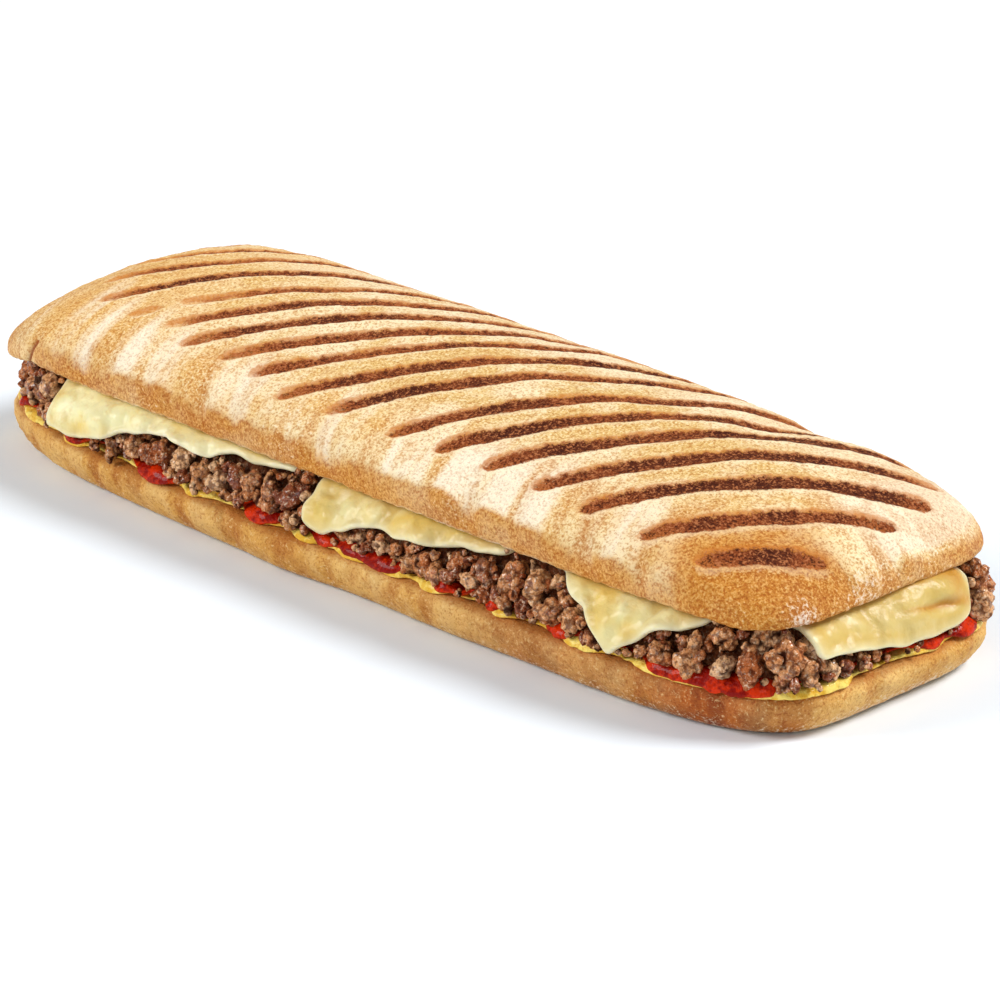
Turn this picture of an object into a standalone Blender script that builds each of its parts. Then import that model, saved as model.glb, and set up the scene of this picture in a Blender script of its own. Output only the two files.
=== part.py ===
# A long grilled panini: two halves of a flat white loaf round minced beef, four
# slices of cheese, tomato sauce and yellow sauce. Metres, +Z up. The origin is the
# middle of the footprint, on the table. +X runs to the near end, +Y to the back.

import math
import random

import bmesh
import bpy
import numpy as np
from mathutils import Matrix, Vector, noise
from mathutils.bvhtree import BVHTree

MM = 0.001
SEED = 11

# Heights of the layers above the table
BOTTOM_BREAD_TOP = 11.0 * MM
YELLOW_SAUCE_HEIGHTS = (11.35 * MM, 12.25 * MM)
TOMATO_SAUCE_HEIGHTS = (12.65 * MM, 13.9 * MM)
BEEF_BOTTOM = 14.3 * MM
BEEF_SHOULDER = 23.2 * MM
BEEF_TOP = 24.0 * MM
CHEESE_UNDERSIDE = 24.5 * MM
CHEESE_THICKNESS = 1.9 * MM
CUT_FACE = 26.9 * MM
RIM_HEIGHT = 1.3 * MM
CROWN_HEIGHT = 20.5 * MM

# Plans: half lengths to the near and the far end, half width, and how square each end is
TOP_BREAD_PLAN = {"near": 136.6 * MM, "far": 135.5 * MM, "half_width": 44.4 * MM,
                  "near_power": 7.0, "far_power": 8.0}
BOTTOM_BREAD_PLAN = {"near": 142.2 * MM, "far": 142.2 * MM, "half_width": 49.2 * MM,
                     "near_power": 4.9, "far_power": 4.2}
BEEF_PLAN = {"near": 138.6 * MM, "far": 136.4 * MM, "half_width": 45.8 * MM,
             "near_power": 5.6, "far_power": 5.0}

# Loaf sections, as height and how far the side lies inside the plan
BOTTOM_BREAD_SIDE = ((0.0, 6.2), (0.7, 4.0), (2.0, 2.4), (4.2, 1.0), (6.8, 0.15), (8.6, 0.0), (9.9, 0.6),
                     (11.0, 2.2))
BEEF_INSETS = {BEEF_BOTTOM: 0.0, BEEF_SHOULDER: 5.0 * MM, BEEF_TOP: 6.5 * MM}

# Points round each outline
BOTTOM_BREAD_POINTS = 88
SAUCE_POINTS = 116
BEEF_POINTS = 60

# Side of the bottom bread: a slow wave, a bulge in the front, and a foot that lies back at the near end
BOTTOM_BREAD_WAVE = {"height": 0.7 * MM, "pitch": 35.7 * MM, "inset": 0.7 * MM}
BOTTOM_BREAD_BULGE = {"x": -18 * MM, "run": 15 * MM, "depth": 1.2 * MM}
BOTTOM_BREAD_FOOT = {"start": 116 * MM, "end": 136 * MM, "depth": 1.6 * MM}

# Crown of the top bread
TOP_BREAD_CELLS = (42, 18)
TOP_BREAD_SPACING = {"sine_share": 0.45, "end_power": 1.25}
CROWN_SIDE_POWERS = (1.5, 0.36)
CROWN_END_POWERS = (5.7, 0.5)
CROWN_TILT = 0.08
CROWN_SWELL = {"height": 0.8 * MM, "pitch": 41.7 * MM}
CROWN_RELIEF_RISE = 1.6
CORNER_DROOPS = ({"x": 128 * MM, "y": -44 * MM, "run": 8 * MM, "depth": 1.5 * MM},
                 {"x": -130 * MM, "y": -40 * MM, "run": 9 * MM, "depth": 2.4 * MM})
BACK_DENT = {"x": 80 * MM, "run": 8 * MM, "depth": 1.6 * MM, "y_start": 5 * MM, "y_full": 26 * MM,
             "rise_before": 0.7 * MM, "rise_beyond": 0.3 * MM}
SIDE_FOLDS = {"depth": 1.0 * MM, "pitch": 19 * MM, "band": (0.72, 0.93), "drift": 0.5,
              "drift_pitch": 55.6 * MM}
RIM_RINGS = ((0.7 * MM, 1.0), (1.6 * MM, 0.0))

# Grill marks: straight parallel grooves pressed aslant across the crown, as places across their run
GRILL_ANGLE = math.radians(46.1)
GRILL_MIDDLES = (105.0, 91.2, 77.6, 65.2, 53.0, 41.8, 30.8, 16.2, 4.8, -7.0, -17.2, -27.6, -37.7, -48.1,
                 -60.9, -73.9, -87.6, -99.0)
GRILL_WIDTH = 4.6 * MM
GRILL_DEPTH = 0.9 * MM
GRILL_FLAT = 0.2
GRILL_FIELD = {"near": 130.5 * MM, "far": 121.0 * MM, "half_width": 37.0 * MM, "power": 7,
               "fade": 4.0 * MM}
CUT_SNAP = 0.05 * MM

# Cheese: along the rim, stations of place and of how far the slice hangs past the bend
CHEESE_BEND_RADIUS = 4.0 * MM
CHEESE_BEND_INSET = 7.4 * MM
CHEESE_BEND_SHARE = 0.75
CHEESE_CELLS = 8
CHEESE_WAVE = {"height": 1.1 * MM, "start": 3 * MM, "full": 9 * MM, "mean": 0.5, "swing": 0.9,
               "pitch": 18.2 * MM}
CHEESE_SLICES = {
    "cheese_slice_1": {"edge": "side", "back": ((-105, 6.0), (-64, 9.0), (-17, 7.0)),
                       "front": ((-105, 15.5), (-85, 13.5), (-74, 9.5), (-45, 7.0), (-17, 4.6))},
    "cheese_slice_2": {"edge": "side", "back": ((-9, 5.0), (26, 8.0), (55, 10.0)),
                       "front": ((-9, 14.5), (5, 13.0), (13, 9.5), (34, 7.5), (55, 4.2))},
    "cheese_slice_3": {"edge": "side", "back": ((56, 5.0), (88, 13.0), (115, 5.0)),
                       "front": ((56, 3.4), (72, 4.4), (93, 17.2), (115, 4.4))},
    "cheese_slice_4": {"edge": "end", "front": ((-29, 9.0), (-14, 12.0), (6, 14.0), (19, 13.5), (27, 10.0)),
                       "inner": 116.2},
}

# Sauce plates: how far inside the beef's plan, waves round the edge, and lobes, as place and reach
YELLOW_SAUCE = {"inset": -0.1, "waves": ((31, 0.6), (27, 0.36)), "phase": 0.6, "lobe_width": 7.0,
                "lobes": ((-52, 0.7), (-7, 0.9), (10, 0.9), (26, 0.7), (132, 0.7))}
TOMATO_SAUCE = {"inset": 1.0, "waves": ((23, 0.6), (20, 0.36)), "phase": 2.1, "lobe_width": 6.5,
                "lobes": ((-118, 1.4), (-66, 1.6), (-20, 1.5), (18, 1.5), (118, 2.0))}
BACK_LOBE_SHARE = 0.5

# Crumbles of beef, fused to the bare core
CRUMBLE_HEIGHTS = [(16.2 + 1.1 * step) * MM for step in range(9)]
CRUMBLE_PLACES = 300
CRUMBLE_RADII = (1.9 * MM, 4.9 * MM)
CRUMBLE_RADIUS_SHARE = (0.7, 1.0)
CRUMBLE_LARGE = 4.3 * MM
CRUMBLE_SPREAD = 0.78
CRUMBLE_REACH = (-0.48 * MM, 1.28 * MM)
CRUMBLE_RISE = 0.7 * MM
CRUMBLE_ROUGHNESS = 0.24
CRUMBLE_LUMPS = 1.6
CLEARANCE = 0.36 * MM
SLIVER = 0.01 * MM

# Colour and roughness of each material, and the angle past which the crusts show an edge
LOOKS = {
    "upper_crust": ((0.80, 0.57, 0.31, 1.0), 0.70),
    "lower_crust": ((0.75, 0.52, 0.27, 1.0), 0.75),
    "browned_beef": ((0.22, 0.11, 0.06, 1.0), 0.45),
    "sliced_cheese": ((0.86, 0.73, 0.36, 1.0), 0.35),
    "yellow_sauce_gloss": ((0.90, 0.62, 0.12, 1.0), 0.25),
    "tomato_sauce_gloss": ((0.60, 0.05, 0.02, 1.0), 0.25),
}
CRUST_EDGE_ANGLES = {"top_bread": 40.0, "bottom_bread": 50.0}


def clear_scene():
    for thing in list(bpy.data.objects):
        bpy.data.objects.remove(thing, do_unlink=True)


def make_collection(name):
    collection = bpy.data.collections.new(name)
    bpy.context.scene.collection.children.link(collection)
    return collection


def make_material(name):
    colour, roughness = LOOKS[name]
    material = bpy.data.materials.new(name)
    material.use_nodes = True
    shader = material.node_tree.nodes["Principled BSDF"]
    shader.inputs["Base Color"].default_value = colour
    shader.inputs["Roughness"].default_value = roughness
    shader.inputs["Metallic"].default_value = 0.0
    return material


def add_object(name, bm, collection, material):
    mesh = bpy.data.meshes.new(name)
    bmesh.ops.recalc_face_normals(bm, faces=bm.faces[:])
    bm.to_mesh(mesh)
    bm.free()
    thing = bpy.data.objects.new(name, mesh)
    collection.objects.link(thing)
    mesh.materials.append(material)
    return thing


def shade_round(bread):
    bread.data.shade_smooth()
    bread.data.set_sharp_from_angle(angle=math.radians(CRUST_EDGE_ANGLES[bread.name]))


def smoothstep(value, low, high):
    t = min(max((value - low) / (high - low), 0.0), 1.0)
    return t * t * (3.0 - 2.0 * t)


def plan_end(plan, x):
    return (plan["near"], plan["near_power"]) if x > 0 else (plan["far"], plan["far_power"])


def half_width(plan, x):
    length, power = plan_end(plan, x)
    t = min(abs(x) / length, 1.0)
    return plan["half_width"] * (1.0 - t ** power) ** (1.0 / power)


def even_outline(plan, count):
    """Points at even steps round a plan, from +X towards +Y, each with its outward normal."""
    dense = []
    steps = count * 40
    for step in range(steps + 1):
        angle = math.tau * step / steps
        cosine, sine = math.cos(angle), math.sin(angle)
        length, power = plan_end(plan, cosine)
        dense.append((math.copysign(length * abs(cosine) ** (2.0 / power), cosine),
                      math.copysign(plan["half_width"] * abs(sine) ** (2.0 / power), sine)))
    dense = np.array(dense)
    travelled = np.concatenate(([0.0], np.cumsum(np.linalg.norm(np.diff(dense, axis=0), axis=1))))
    stations = np.linspace(0.0, travelled[-1], count, endpoint=False)
    points = [Vector((x, y)) for x, y in zip(np.interp(stations, travelled, dense[:, 0]),
                                             np.interp(stations, travelled, dense[:, 1]))]
    outline = []
    for index, point in enumerate(points):
        along = points[(index + 1) % count] - points[index - 1]
        outline.append((point, Vector((along.y, -along.x)).normalized()))
    return outline


def ringed_solid(outline, levels, place):
    """A cylinder cut into rings at the levels, with each ring point moved by place."""
    count = len(outline)
    low, high = levels[0], levels[-1]
    bm = bmesh.new()
    bmesh.ops.create_cone(bm, cap_ends=True, segments=count, radius1=1.0, radius2=1.0,
                          depth=high - low, matrix=Matrix.Translation((0, 0, (low + high) / 2)))
    for level in levels[1:-1]:
        bmesh.ops.bisect_plane(bm, geom=bm.verts[:] + bm.edges[:] + bm.faces[:],
                               plane_co=(0, 0, level), plane_no=(0, 0, 1))
    for vert in bm.verts:
        turn = math.atan2(vert.co.y, vert.co.x) / math.tau
        point, normal = outline[round(turn * count) % count]
        nearest = min(levels, key=lambda level: abs(level - vert.co.z))
        vert.co = place(point, normal, nearest)
    return bm


def make_bottom_bread(collection):
    """The lower half loaf: flat cut face, bulging side, rounded underside, flat foot."""
    insets = {height * MM: inset * MM for height, inset in BOTTOM_BREAD_SIDE}

    def place(point, normal, level):
        wave = BOTTOM_BREAD_WAVE["height"] * noise.noise(
            Vector((point.x, point.y, 3 * level)) / BOTTOM_BREAD_WAVE["pitch"])
        front = 1.0 if point.y < 0 else 0.0
        away = (point.x - BOTTOM_BREAD_BULGE["x"]) / BOTTOM_BREAD_BULGE["run"]
        bulge = BOTTOM_BREAD_BULGE["depth"] * front * math.exp(-away ** 2)
        foot = smoothstep(point.x, BOTTOM_BREAD_FOOT["start"], BOTTOM_BREAD_FOOT["end"])
        foot *= BOTTOM_BREAD_FOOT["depth"] * (1 - level / BOTTOM_BREAD_TOP)
        side = point + normal * (wave + bulge - insets[level] - foot - BOTTOM_BREAD_WAVE["inset"])
        return Vector((side.x, side.y, level))

    bm = ringed_solid(even_outline(BOTTOM_BREAD_PLAN, BOTTOM_BREAD_POINTS), sorted(insets), place)
    bread = add_object("bottom_bread", bm, collection, make_material("lower_crust"))
    shade_round(bread)
    return bread


def crown_height(x, y):
    """Height of the crust above the rim, before the grill marks."""
    width = half_width(TOP_BREAD_PLAN, x)
    length, _ = plan_end(TOP_BREAD_PLAN, x)
    along = min(abs(x) / length, 1.0)
    across = min(abs(y) / width, 1.0) if width > 0 else 1.0
    end_power, end_root = CROWN_END_POWERS
    side_power, side_root = CROWN_SIDE_POWERS
    height = (1 - along ** end_power) ** end_root * (1 - across ** side_power) ** side_root
    tilt = 1 + CROWN_TILT * y / TOP_BREAD_PLAN["half_width"]
    swell = CROWN_SWELL["height"] * noise.noise(Vector((x, y, 0.0)) / CROWN_SWELL["pitch"])
    relief = (swell + back_relief(x, y)) * min(height * CROWN_RELIEF_RISE, 1.0)
    return CROWN_HEIGHT * height * tilt + relief


def back_relief(x, y):
    """The dent in the back of the crown, and how the crust stands before and beyond it."""
    middle, run = BACK_DENT["x"], BACK_DENT["run"]
    before = BACK_DENT["rise_before"] * (1 - smoothstep(x, middle - 2 * run, middle))
    beyond = BACK_DENT["rise_beyond"] * smoothstep(x, middle + run, middle + 3 * run)
    dent = BACK_DENT["depth"] * math.exp(-((x - middle) / run) ** 2)
    return (before + beyond - dent) * smoothstep(y, BACK_DENT["y_start"], BACK_DENT["y_full"])


def side_fold(x, y):
    """Depth of the upright folds in the side of the crust."""
    across = abs(y) / TOP_BREAD_PLAN["half_width"]
    band = smoothstep(across, *SIDE_FOLDS["band"])
    seed = Vector((x / SIDE_FOLDS["drift_pitch"], math.copysign(3.0, y), 0.0))
    turns = x / SIDE_FOLDS["pitch"] + SIDE_FOLDS["drift"] * noise.noise(seed)
    return SIDE_FOLDS["depth"] * band * math.sin(math.pi * turns) ** 4


def corner_droop(point):
    """How far the rim sags at the front corners."""
    return sum(corner["depth"] * math.exp(-(math.hypot(point.x - corner["x"], point.y - corner["y"])
                                            / corner["run"]) ** 2) for corner in CORNER_DROOPS)


def grill_mask(x, y):
    """1 inside the field that the grill touched, 0 outside it."""
    length = GRILL_FIELD["near"] if x > 0 else GRILL_FIELD["far"]
    power = GRILL_FIELD["power"]
    reach = ((abs(x) / length) ** power + (abs(y) / GRILL_FIELD["half_width"]) ** power) ** (1 / power)
    fade = GRILL_FIELD["fade"] / GRILL_FIELD["half_width"]
    return 1.0 - smoothstep(reach, 1.0 - fade, 1.0 + fade / 2)


def loaf_grid():
    """A grid from -1 to 1, close at its borders, drawn out to the plan of the top bread."""
    bm = bmesh.new()
    bmesh.ops.create_grid(bm, x_segments=TOP_BREAD_CELLS[0], y_segments=TOP_BREAD_CELLS[1], size=1.0)
    share = TOP_BREAD_SPACING["sine_share"]
    for vert in bm.verts:
        u = (1 - share) * vert.co.x + share * math.sin(math.pi / 2 * vert.co.x)
        v = math.sin(math.pi / 2 * vert.co.y)
        u = math.copysign(1 - (1 - abs(u)) ** TOP_BREAD_SPACING["end_power"], u)
        length, power = plan_end(TOP_BREAD_PLAN, u)
        square = max(abs(u), abs(v))
        round_size = (abs(u) ** power + abs(v) ** power) ** (1 / power)
        shrink = square / round_size if round_size > 0 else 1.0
        vert.co = Vector((u * shrink * length, v * shrink * TOP_BREAD_PLAN["half_width"], 0.0))
    return bm


def press_grill_marks(bm):
    """Cuts the crown along both sides and the middle of every mark."""
    direction = Vector((math.sin(GRILL_ANGLE), -math.cos(GRILL_ANGLE), 0.0))
    middles = [middle * MM for middle in GRILL_MIDDLES]
    for middle in middles:
        for side in (-0.5, 0.0, 0.5):
            faces = [face for face in bm.faces
                     if any(grill_mask(vert.co.x, vert.co.y) > 0.01 for vert in face.verts)]
            edges = {edge for face in faces for edge in face.edges}
            verts = {vert for face in faces for vert in face.verts}
            bmesh.ops.bisect_plane(bm, geom=list(verts) + list(edges) + faces, dist=CUT_SNAP,
                                   plane_co=direction * (middle + side * GRILL_WIDTH),
                                   plane_no=direction)
    return direction, middles


def groove_depth(direction, middles, point):
    """Depth of the grill marks at a point of the crown."""
    across = direction.dot(point)
    nearest = min(abs(across - middle) for middle in middles)
    groove = 1.0 - smoothstep(nearest, GRILL_FLAT * GRILL_WIDTH, 0.5 * GRILL_WIDTH)
    return GRILL_DEPTH * groove * grill_mask(point.x, point.y)


def make_top_bread(collection):
    """The upper half loaf: crowned crust with grill marks, short rim, flat cut face."""
    bm = loaf_grid()
    direction, middles = press_grill_marks(bm)
    for vert in bm.verts:
        x, y = vert.co.x, vert.co.y
        height = crown_height(x, y) - groove_depth(direction, middles, vert.co)
        fold = 0.0 if vert.is_boundary else side_fold(x, y)
        vert.co.z = CUT_FACE + RIM_HEIGHT + max(height, 0.0) - corner_droop(vert.co)
        vert.co.y -= math.copysign(fold, y)
    rim = [edge for edge in bm.edges if edge.is_boundary]
    for inset, sag in RIM_RINGS:
        ring = bmesh.ops.extrude_edge_only(bm, edges=rim)["geom"]
        for vert in (thing for thing in ring if isinstance(thing, bmesh.types.BMVert)):
            droop = sag * corner_droop(vert.co)
            length, _ = plan_end(TOP_BREAD_PLAN, vert.co.x)
            vert.co = Vector((vert.co.x * (1 - inset / length),
                              vert.co.y * (1 - inset / TOP_BREAD_PLAN["half_width"]), CUT_FACE - droop))
        rim = [edge for edge in ring if isinstance(edge, bmesh.types.BMEdge)]
    bmesh.ops.contextual_create(bm, geom=rim)
    bread = add_object("top_bread", bm, collection, make_material("upper_crust"))
    shade_round(bread)
    return bread


def sauce_edge(point, normal, sauce):
    """How far a sauce runs past the beef's plan at a point of its outline."""
    turn = math.atan2(point.y / BEEF_PLAN["half_width"], point.x / BEEF_PLAN["near"])
    wave = sum(height * math.sin(count * turn + sauce["phase"]) for count, height in sauce["waves"])
    lobe = sum(reach * math.exp(-((point.x / MM - place) / sauce["lobe_width"]) ** 2)
               for place, reach in sauce["lobes"])
    return (wave + lobe * (1.0 if normal.y < 0.3 else BACK_LOBE_SHARE) - sauce["inset"]) * MM


def make_sauce(name, sauce, heights, collection):
    """A thin plate of sauce with a wavy edge, from a filled flat curve."""
    outline = even_outline(BEEF_PLAN, SAUCE_POINTS)
    curve = bpy.data.curves.new(name, "CURVE")
    curve.dimensions = "2D"
    curve.fill_mode = "BOTH"
    curve.extrude = (heights[1] - heights[0]) / 2
    spline = curve.splines.new("POLY")
    spline.points.add(len(outline) - 1)
    spline.use_cyclic_u = True
    for target, (point, normal) in zip(spline.points, outline):
        edge = point + normal * sauce_edge(point, normal, sauce)
        target.co = (edge.x, edge.y, 0.0, 1.0)
    plate = bpy.data.objects.new(name, curve)
    plate.location.z = (heights[0] + heights[1]) / 2
    plate.data.materials.append(make_material(name + "_gloss"))
    collection.objects.link(plate)
    return plate


def make_beef_core(collection):
    """The bare heap of beef under the crumbles, with sloping sides."""
    def place(point, normal, level):
        side = point - normal * BEEF_INSETS[level]
        return Vector((side.x, side.y, level))

    bm = ringed_solid(even_outline(BEEF_PLAN, BEEF_POINTS), sorted(BEEF_INSETS), place)
    return add_object("minced_beef", bm, collection, make_material("browned_beef"))


def cheese_slope():
    """The angle that a hanging slice turns down through, along the beef's side."""
    return math.atan2(BEEF_SHOULDER - BEEF_BOTTOM, BEEF_INSETS[BEEF_SHOULDER])


def drape(reach):
    """A slice bent over the beef's shoulder: outward and upward steps, and the outward normal."""
    slope = cheese_slope()
    angle = min(max(reach, 0.0) / CHEESE_BEND_RADIUS, slope)
    straight = max(reach - CHEESE_BEND_RADIUS * slope, 0.0)
    outward = CHEESE_BEND_RADIUS * math.sin(angle) + straight * math.cos(slope) + min(reach, 0.0)
    upward = -CHEESE_BEND_RADIUS * (1 - math.cos(angle)) - straight * math.sin(slope)
    return outward, upward, (math.sin(angle), math.cos(angle))


def station_value(stations, place):
    return float(np.interp(place / MM, [at for at, _ in stations], [value for _, value in stations]))


def hanging_rows(hang, flat):
    """Distances past the bend of a slice's cross rows, from its middle out to its edge."""
    bent = min(CHEESE_BEND_RADIUS * cheese_slope(), CHEESE_BEND_SHARE * hang)
    return [-flat, -flat / 2, 0.0, bent / 3, bent * 2 / 3, bent, (bent + hang) / 2, hang]


def cheese_point(piece, along, row):
    """A point of a slice's underside: along the rim, and a row from its middle out."""
    front = piece["front"] if row < 0 or piece["edge"] == "end" else piece["back"]
    hang = station_value(front, along) * MM
    if piece["edge"] == "side":
        bend = half_width(BEEF_PLAN, along) - CHEESE_BEND_INSET
        reach = hanging_rows(hang, bend)[abs(row)]
    else:
        bend = BEEF_PLAN["near"] - CHEESE_BEND_INSET
        reach = hanging_rows(hang, bend - piece["inner"] * MM)[row]
    outward, upward, normal = drape(reach)
    seed = Vector((along / CHEESE_WAVE["pitch"], row * 0.35, piece["front"][0][0] * 0.04))
    lift = CHEESE_WAVE["mean"] + CHEESE_WAVE["swing"] * noise.noise(seed)
    lift *= CHEESE_WAVE["height"] * smoothstep(reach, CHEESE_WAVE["start"], CHEESE_WAVE["full"])
    across = bend + outward + lift * normal[0]
    z = CHEESE_UNDERSIDE + upward + lift * normal[1]
    if piece["edge"] == "side":
        return Vector((along, math.copysign(across, row), z))
    return Vector((across, along, z))


def make_cheese(name, piece, collection, material):
    """A draped square of sliced cheese: a bent sheet given its thickness."""
    bm = bmesh.new()
    last_row = len(hanging_rows(1.0, 1.0)) - 1
    two_sided = piece["edge"] == "side"
    bmesh.ops.create_grid(bm, x_segments=CHEESE_CELLS, size=1.0,
                          y_segments=2 * last_row if two_sided else last_row)
    first, last = piece["front"][0][0] * MM, piece["front"][-1][0] * MM
    for vert in bm.verts:
        along = first + (last - first) * (vert.co.x + 1) / 2
        row = round(vert.co.y * last_row if two_sided else (vert.co.y + 1) / 2 * last_row)
        vert.co = cheese_point(piece, along, row)
    bm.normal_update()
    if sum(face.normal.z for face in bm.faces) < 0:
        bmesh.ops.reverse_faces(bm, faces=bm.faces[:])
    mesh = bpy.data.meshes.new(name)
    bm.to_mesh(mesh)
    bm.free()
    cheese = bpy.data.objects.new(name, mesh)
    mesh.materials.append(material)
    collection.objects.link(cheese)
    thick = cheese.modifiers.new("thickness", "SOLIDIFY")
    thick.thickness = CHEESE_THICKNESS
    thick.offset = 1.0
    mesh.shade_smooth()
    return cheese


def obstacle_trees(things):
    """Search trees of the finished neighbours, for the room round a crumble."""
    bpy.context.view_layer.update()
    depsgraph = bpy.context.evaluated_depsgraph_get()
    trees = []
    for thing in things:
        mesh = bpy.data.meshes.new_from_object(thing.evaluated_get(depsgraph))
        mesh.transform(thing.matrix_world)
        bm = bmesh.new()
        bm.from_mesh(mesh)
        trees.append(BVHTree.FromBMesh(bm))
        bm.free()
        bpy.data.meshes.remove(mesh)
    return trees


def add_crumble(number, centre, radius, detail, collection, material):
    """A lump of mince: a small ball pushed in and out, never past its radius."""
    bm = bmesh.new()
    bmesh.ops.create_icosphere(bm, subdivisions=detail, radius=1.0)
    offset = Vector((number * 1.7, number * 0.9, 0.0))
    for vert in bm.verts:
        shape = 1.0 - CRUMBLE_ROUGHNESS * (0.5 + 0.5 * noise.noise(vert.co * CRUMBLE_LUMPS + offset))
        vert.co = centre + vert.co * radius * shape
    return add_object("crumble_%03d" % number, bm, collection, material)


def crumble_places(trees):
    """Places on the slope of the core, each with the largest crumble that it has room for."""
    rng = random.Random(SEED)
    levels = sorted(BEEF_INSETS)
    places = []
    for point, normal in even_outline(BEEF_PLAN, CRUMBLE_PLACES):
        for height in CRUMBLE_HEIGHTS:
            inset = np.interp(height, levels, [BEEF_INSETS[level] for level in levels])
            flat = point - normal * (inset - rng.uniform(*CRUMBLE_REACH))
            centre = Vector((flat.x, flat.y, height + rng.uniform(-CRUMBLE_RISE, CRUMBLE_RISE)))
            room = min(tree.find_nearest(centre)[3] for tree in trees) - CLEARANCE
            radius = min(room, CRUMBLE_RADII[1] * rng.uniform(*CRUMBLE_RADIUS_SHARE))
            if radius > CRUMBLE_RADII[0]:
                places.append((radius, centre))
    return sorted(places, key=lambda place: -place[0])


def scatter_crumbles(trees, collection, material):
    """Crumbles over the side of the core, the largest first, each beside the ones before it."""
    laid = []
    for radius, centre in crumble_places(trees):
        if all((centre - other).length > CRUMBLE_SPREAD * (radius + reach) for reach, other in laid):
            laid.append((radius, centre))
            detail = 2 if radius > CRUMBLE_LARGE else 1
            add_crumble(len(laid), centre, radius, detail, collection, material)


def fuse(core, crumbles):
    """One Boolean union of the core and all crumbles, kept as one closed body."""
    union = core.modifiers.new("fuse", "BOOLEAN")
    union.operation = "UNION"
    union.operand_type = "COLLECTION"
    union.collection = crumbles
    union.solver = "EXACT"
    bpy.context.view_layer.update()
    depsgraph = bpy.context.evaluated_depsgraph_get()
    fused = bpy.data.meshes.new_from_object(core.evaluated_get(depsgraph))
    core.modifiers.clear()
    core.data = fused
    for crumble in list(crumbles.objects):
        bpy.data.objects.remove(crumble, do_unlink=True)
    bpy.data.collections.remove(crumbles)


def keep_outer_body(thing):
    """Merges slivers and drops loose scraps and sealed hollows."""
    bm = bmesh.new()
    bm.from_mesh(thing.data)
    bmesh.ops.triangulate(bm, faces=bm.faces[:])
    bmesh.ops.dissolve_degenerate(bm, edges=bm.edges[:], dist=SLIVER)
    islands = []
    unseen = set(bm.verts)
    while unseen:
        island = {unseen.pop()}
        edge_of_search = set(island)
        while edge_of_search:
            edge_of_search = {edge.other_vert(vert) for vert in edge_of_search
                              for edge in vert.link_edges} - island
            island |= edge_of_search
        unseen -= island
        islands.append(island)
    largest = max(islands, key=len)
    bmesh.ops.delete(bm, geom=[vert for vert in bm.verts if vert not in largest], context="VERTS")
    bm.to_mesh(thing.data)
    bm.free()


def main():
    clear_scene()
    panini = make_collection("panini")
    bottom = make_bottom_bread(panini)
    top = make_top_bread(panini)
    yellow = make_sauce("yellow_sauce", YELLOW_SAUCE, YELLOW_SAUCE_HEIGHTS, panini)
    tomato = make_sauce("tomato_sauce", TOMATO_SAUCE, TOMATO_SAUCE_HEIGHTS, panini)
    beef = make_beef_core(panini)
    cheese_material = make_material("sliced_cheese")
    slices = [make_cheese(name, piece, panini, cheese_material)
              for name, piece in CHEESE_SLICES.items()]
    crumbles = make_collection("crumbles")
    trees = obstacle_trees([bottom, top, yellow, tomato] + slices)
    scatter_crumbles(trees, crumbles, beef.data.materials[0])
    fuse(beef, crumbles)
    keep_outer_body(beef)


main()
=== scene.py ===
import math
import random

import bpy
import numpy as np
from mathutils import Euler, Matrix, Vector, noise
from mathutils.bvhtree import BVHTree
from mathutils.kdtree import KDTree


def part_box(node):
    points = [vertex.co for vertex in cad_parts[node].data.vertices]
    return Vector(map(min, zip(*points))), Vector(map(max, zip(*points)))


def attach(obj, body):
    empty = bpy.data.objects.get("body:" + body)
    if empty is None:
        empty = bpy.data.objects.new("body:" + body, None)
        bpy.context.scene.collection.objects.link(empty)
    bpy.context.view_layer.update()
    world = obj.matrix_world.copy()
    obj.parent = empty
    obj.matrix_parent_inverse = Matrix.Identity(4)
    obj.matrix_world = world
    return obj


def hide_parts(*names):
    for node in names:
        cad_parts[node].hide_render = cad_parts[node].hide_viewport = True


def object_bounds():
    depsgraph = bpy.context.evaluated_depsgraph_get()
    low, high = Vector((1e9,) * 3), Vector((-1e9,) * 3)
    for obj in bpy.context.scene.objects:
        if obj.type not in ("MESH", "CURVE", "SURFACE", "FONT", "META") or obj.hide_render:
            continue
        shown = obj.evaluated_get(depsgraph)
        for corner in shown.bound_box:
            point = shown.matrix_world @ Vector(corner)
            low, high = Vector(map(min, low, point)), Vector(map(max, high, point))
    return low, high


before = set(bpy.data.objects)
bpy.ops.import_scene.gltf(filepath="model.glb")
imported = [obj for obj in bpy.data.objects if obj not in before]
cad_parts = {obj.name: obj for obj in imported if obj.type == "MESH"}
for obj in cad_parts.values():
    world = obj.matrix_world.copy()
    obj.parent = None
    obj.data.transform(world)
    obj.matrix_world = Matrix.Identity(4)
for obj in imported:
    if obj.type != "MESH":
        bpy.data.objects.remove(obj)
cadLow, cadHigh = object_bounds()
mm = 0.001
print("frame loaded:", ", ".join(sorted(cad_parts)))


# Small tools for modelling

def setMode(mode):
    bpy.ops.object.mode_set(mode=mode)


def deselectAll():
    if bpy.context.object and bpy.context.object.mode != "OBJECT":
        setMode("OBJECT")
    bpy.ops.object.select_all(action="DESELECT")


def makeActive(piece):
    deselectAll()
    piece.select_set(True)
    bpy.context.view_layer.objects.active = piece


def newPiece(name):
    piece = bpy.context.object  # the primitive that was just added
    piece.name = piece.data.name = name
    return piece


def newGrid(name, columns, rows):
    deselectAll()
    bpy.ops.mesh.primitive_grid_add(x_subdivisions=columns, y_subdivisions=rows, size=2.0)
    return newPiece(name)


def smoothFaces(piece, degrees):
    makeActive(piece)
    bpy.ops.object.shade_smooth_by_angle(angle=math.radians(degrees))


def readValues(items, key, width, kind=np.float32):
    values = np.empty(len(items) * width, kind)
    items.foreach_get(key, values)
    return values.reshape(-1, width)


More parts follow.
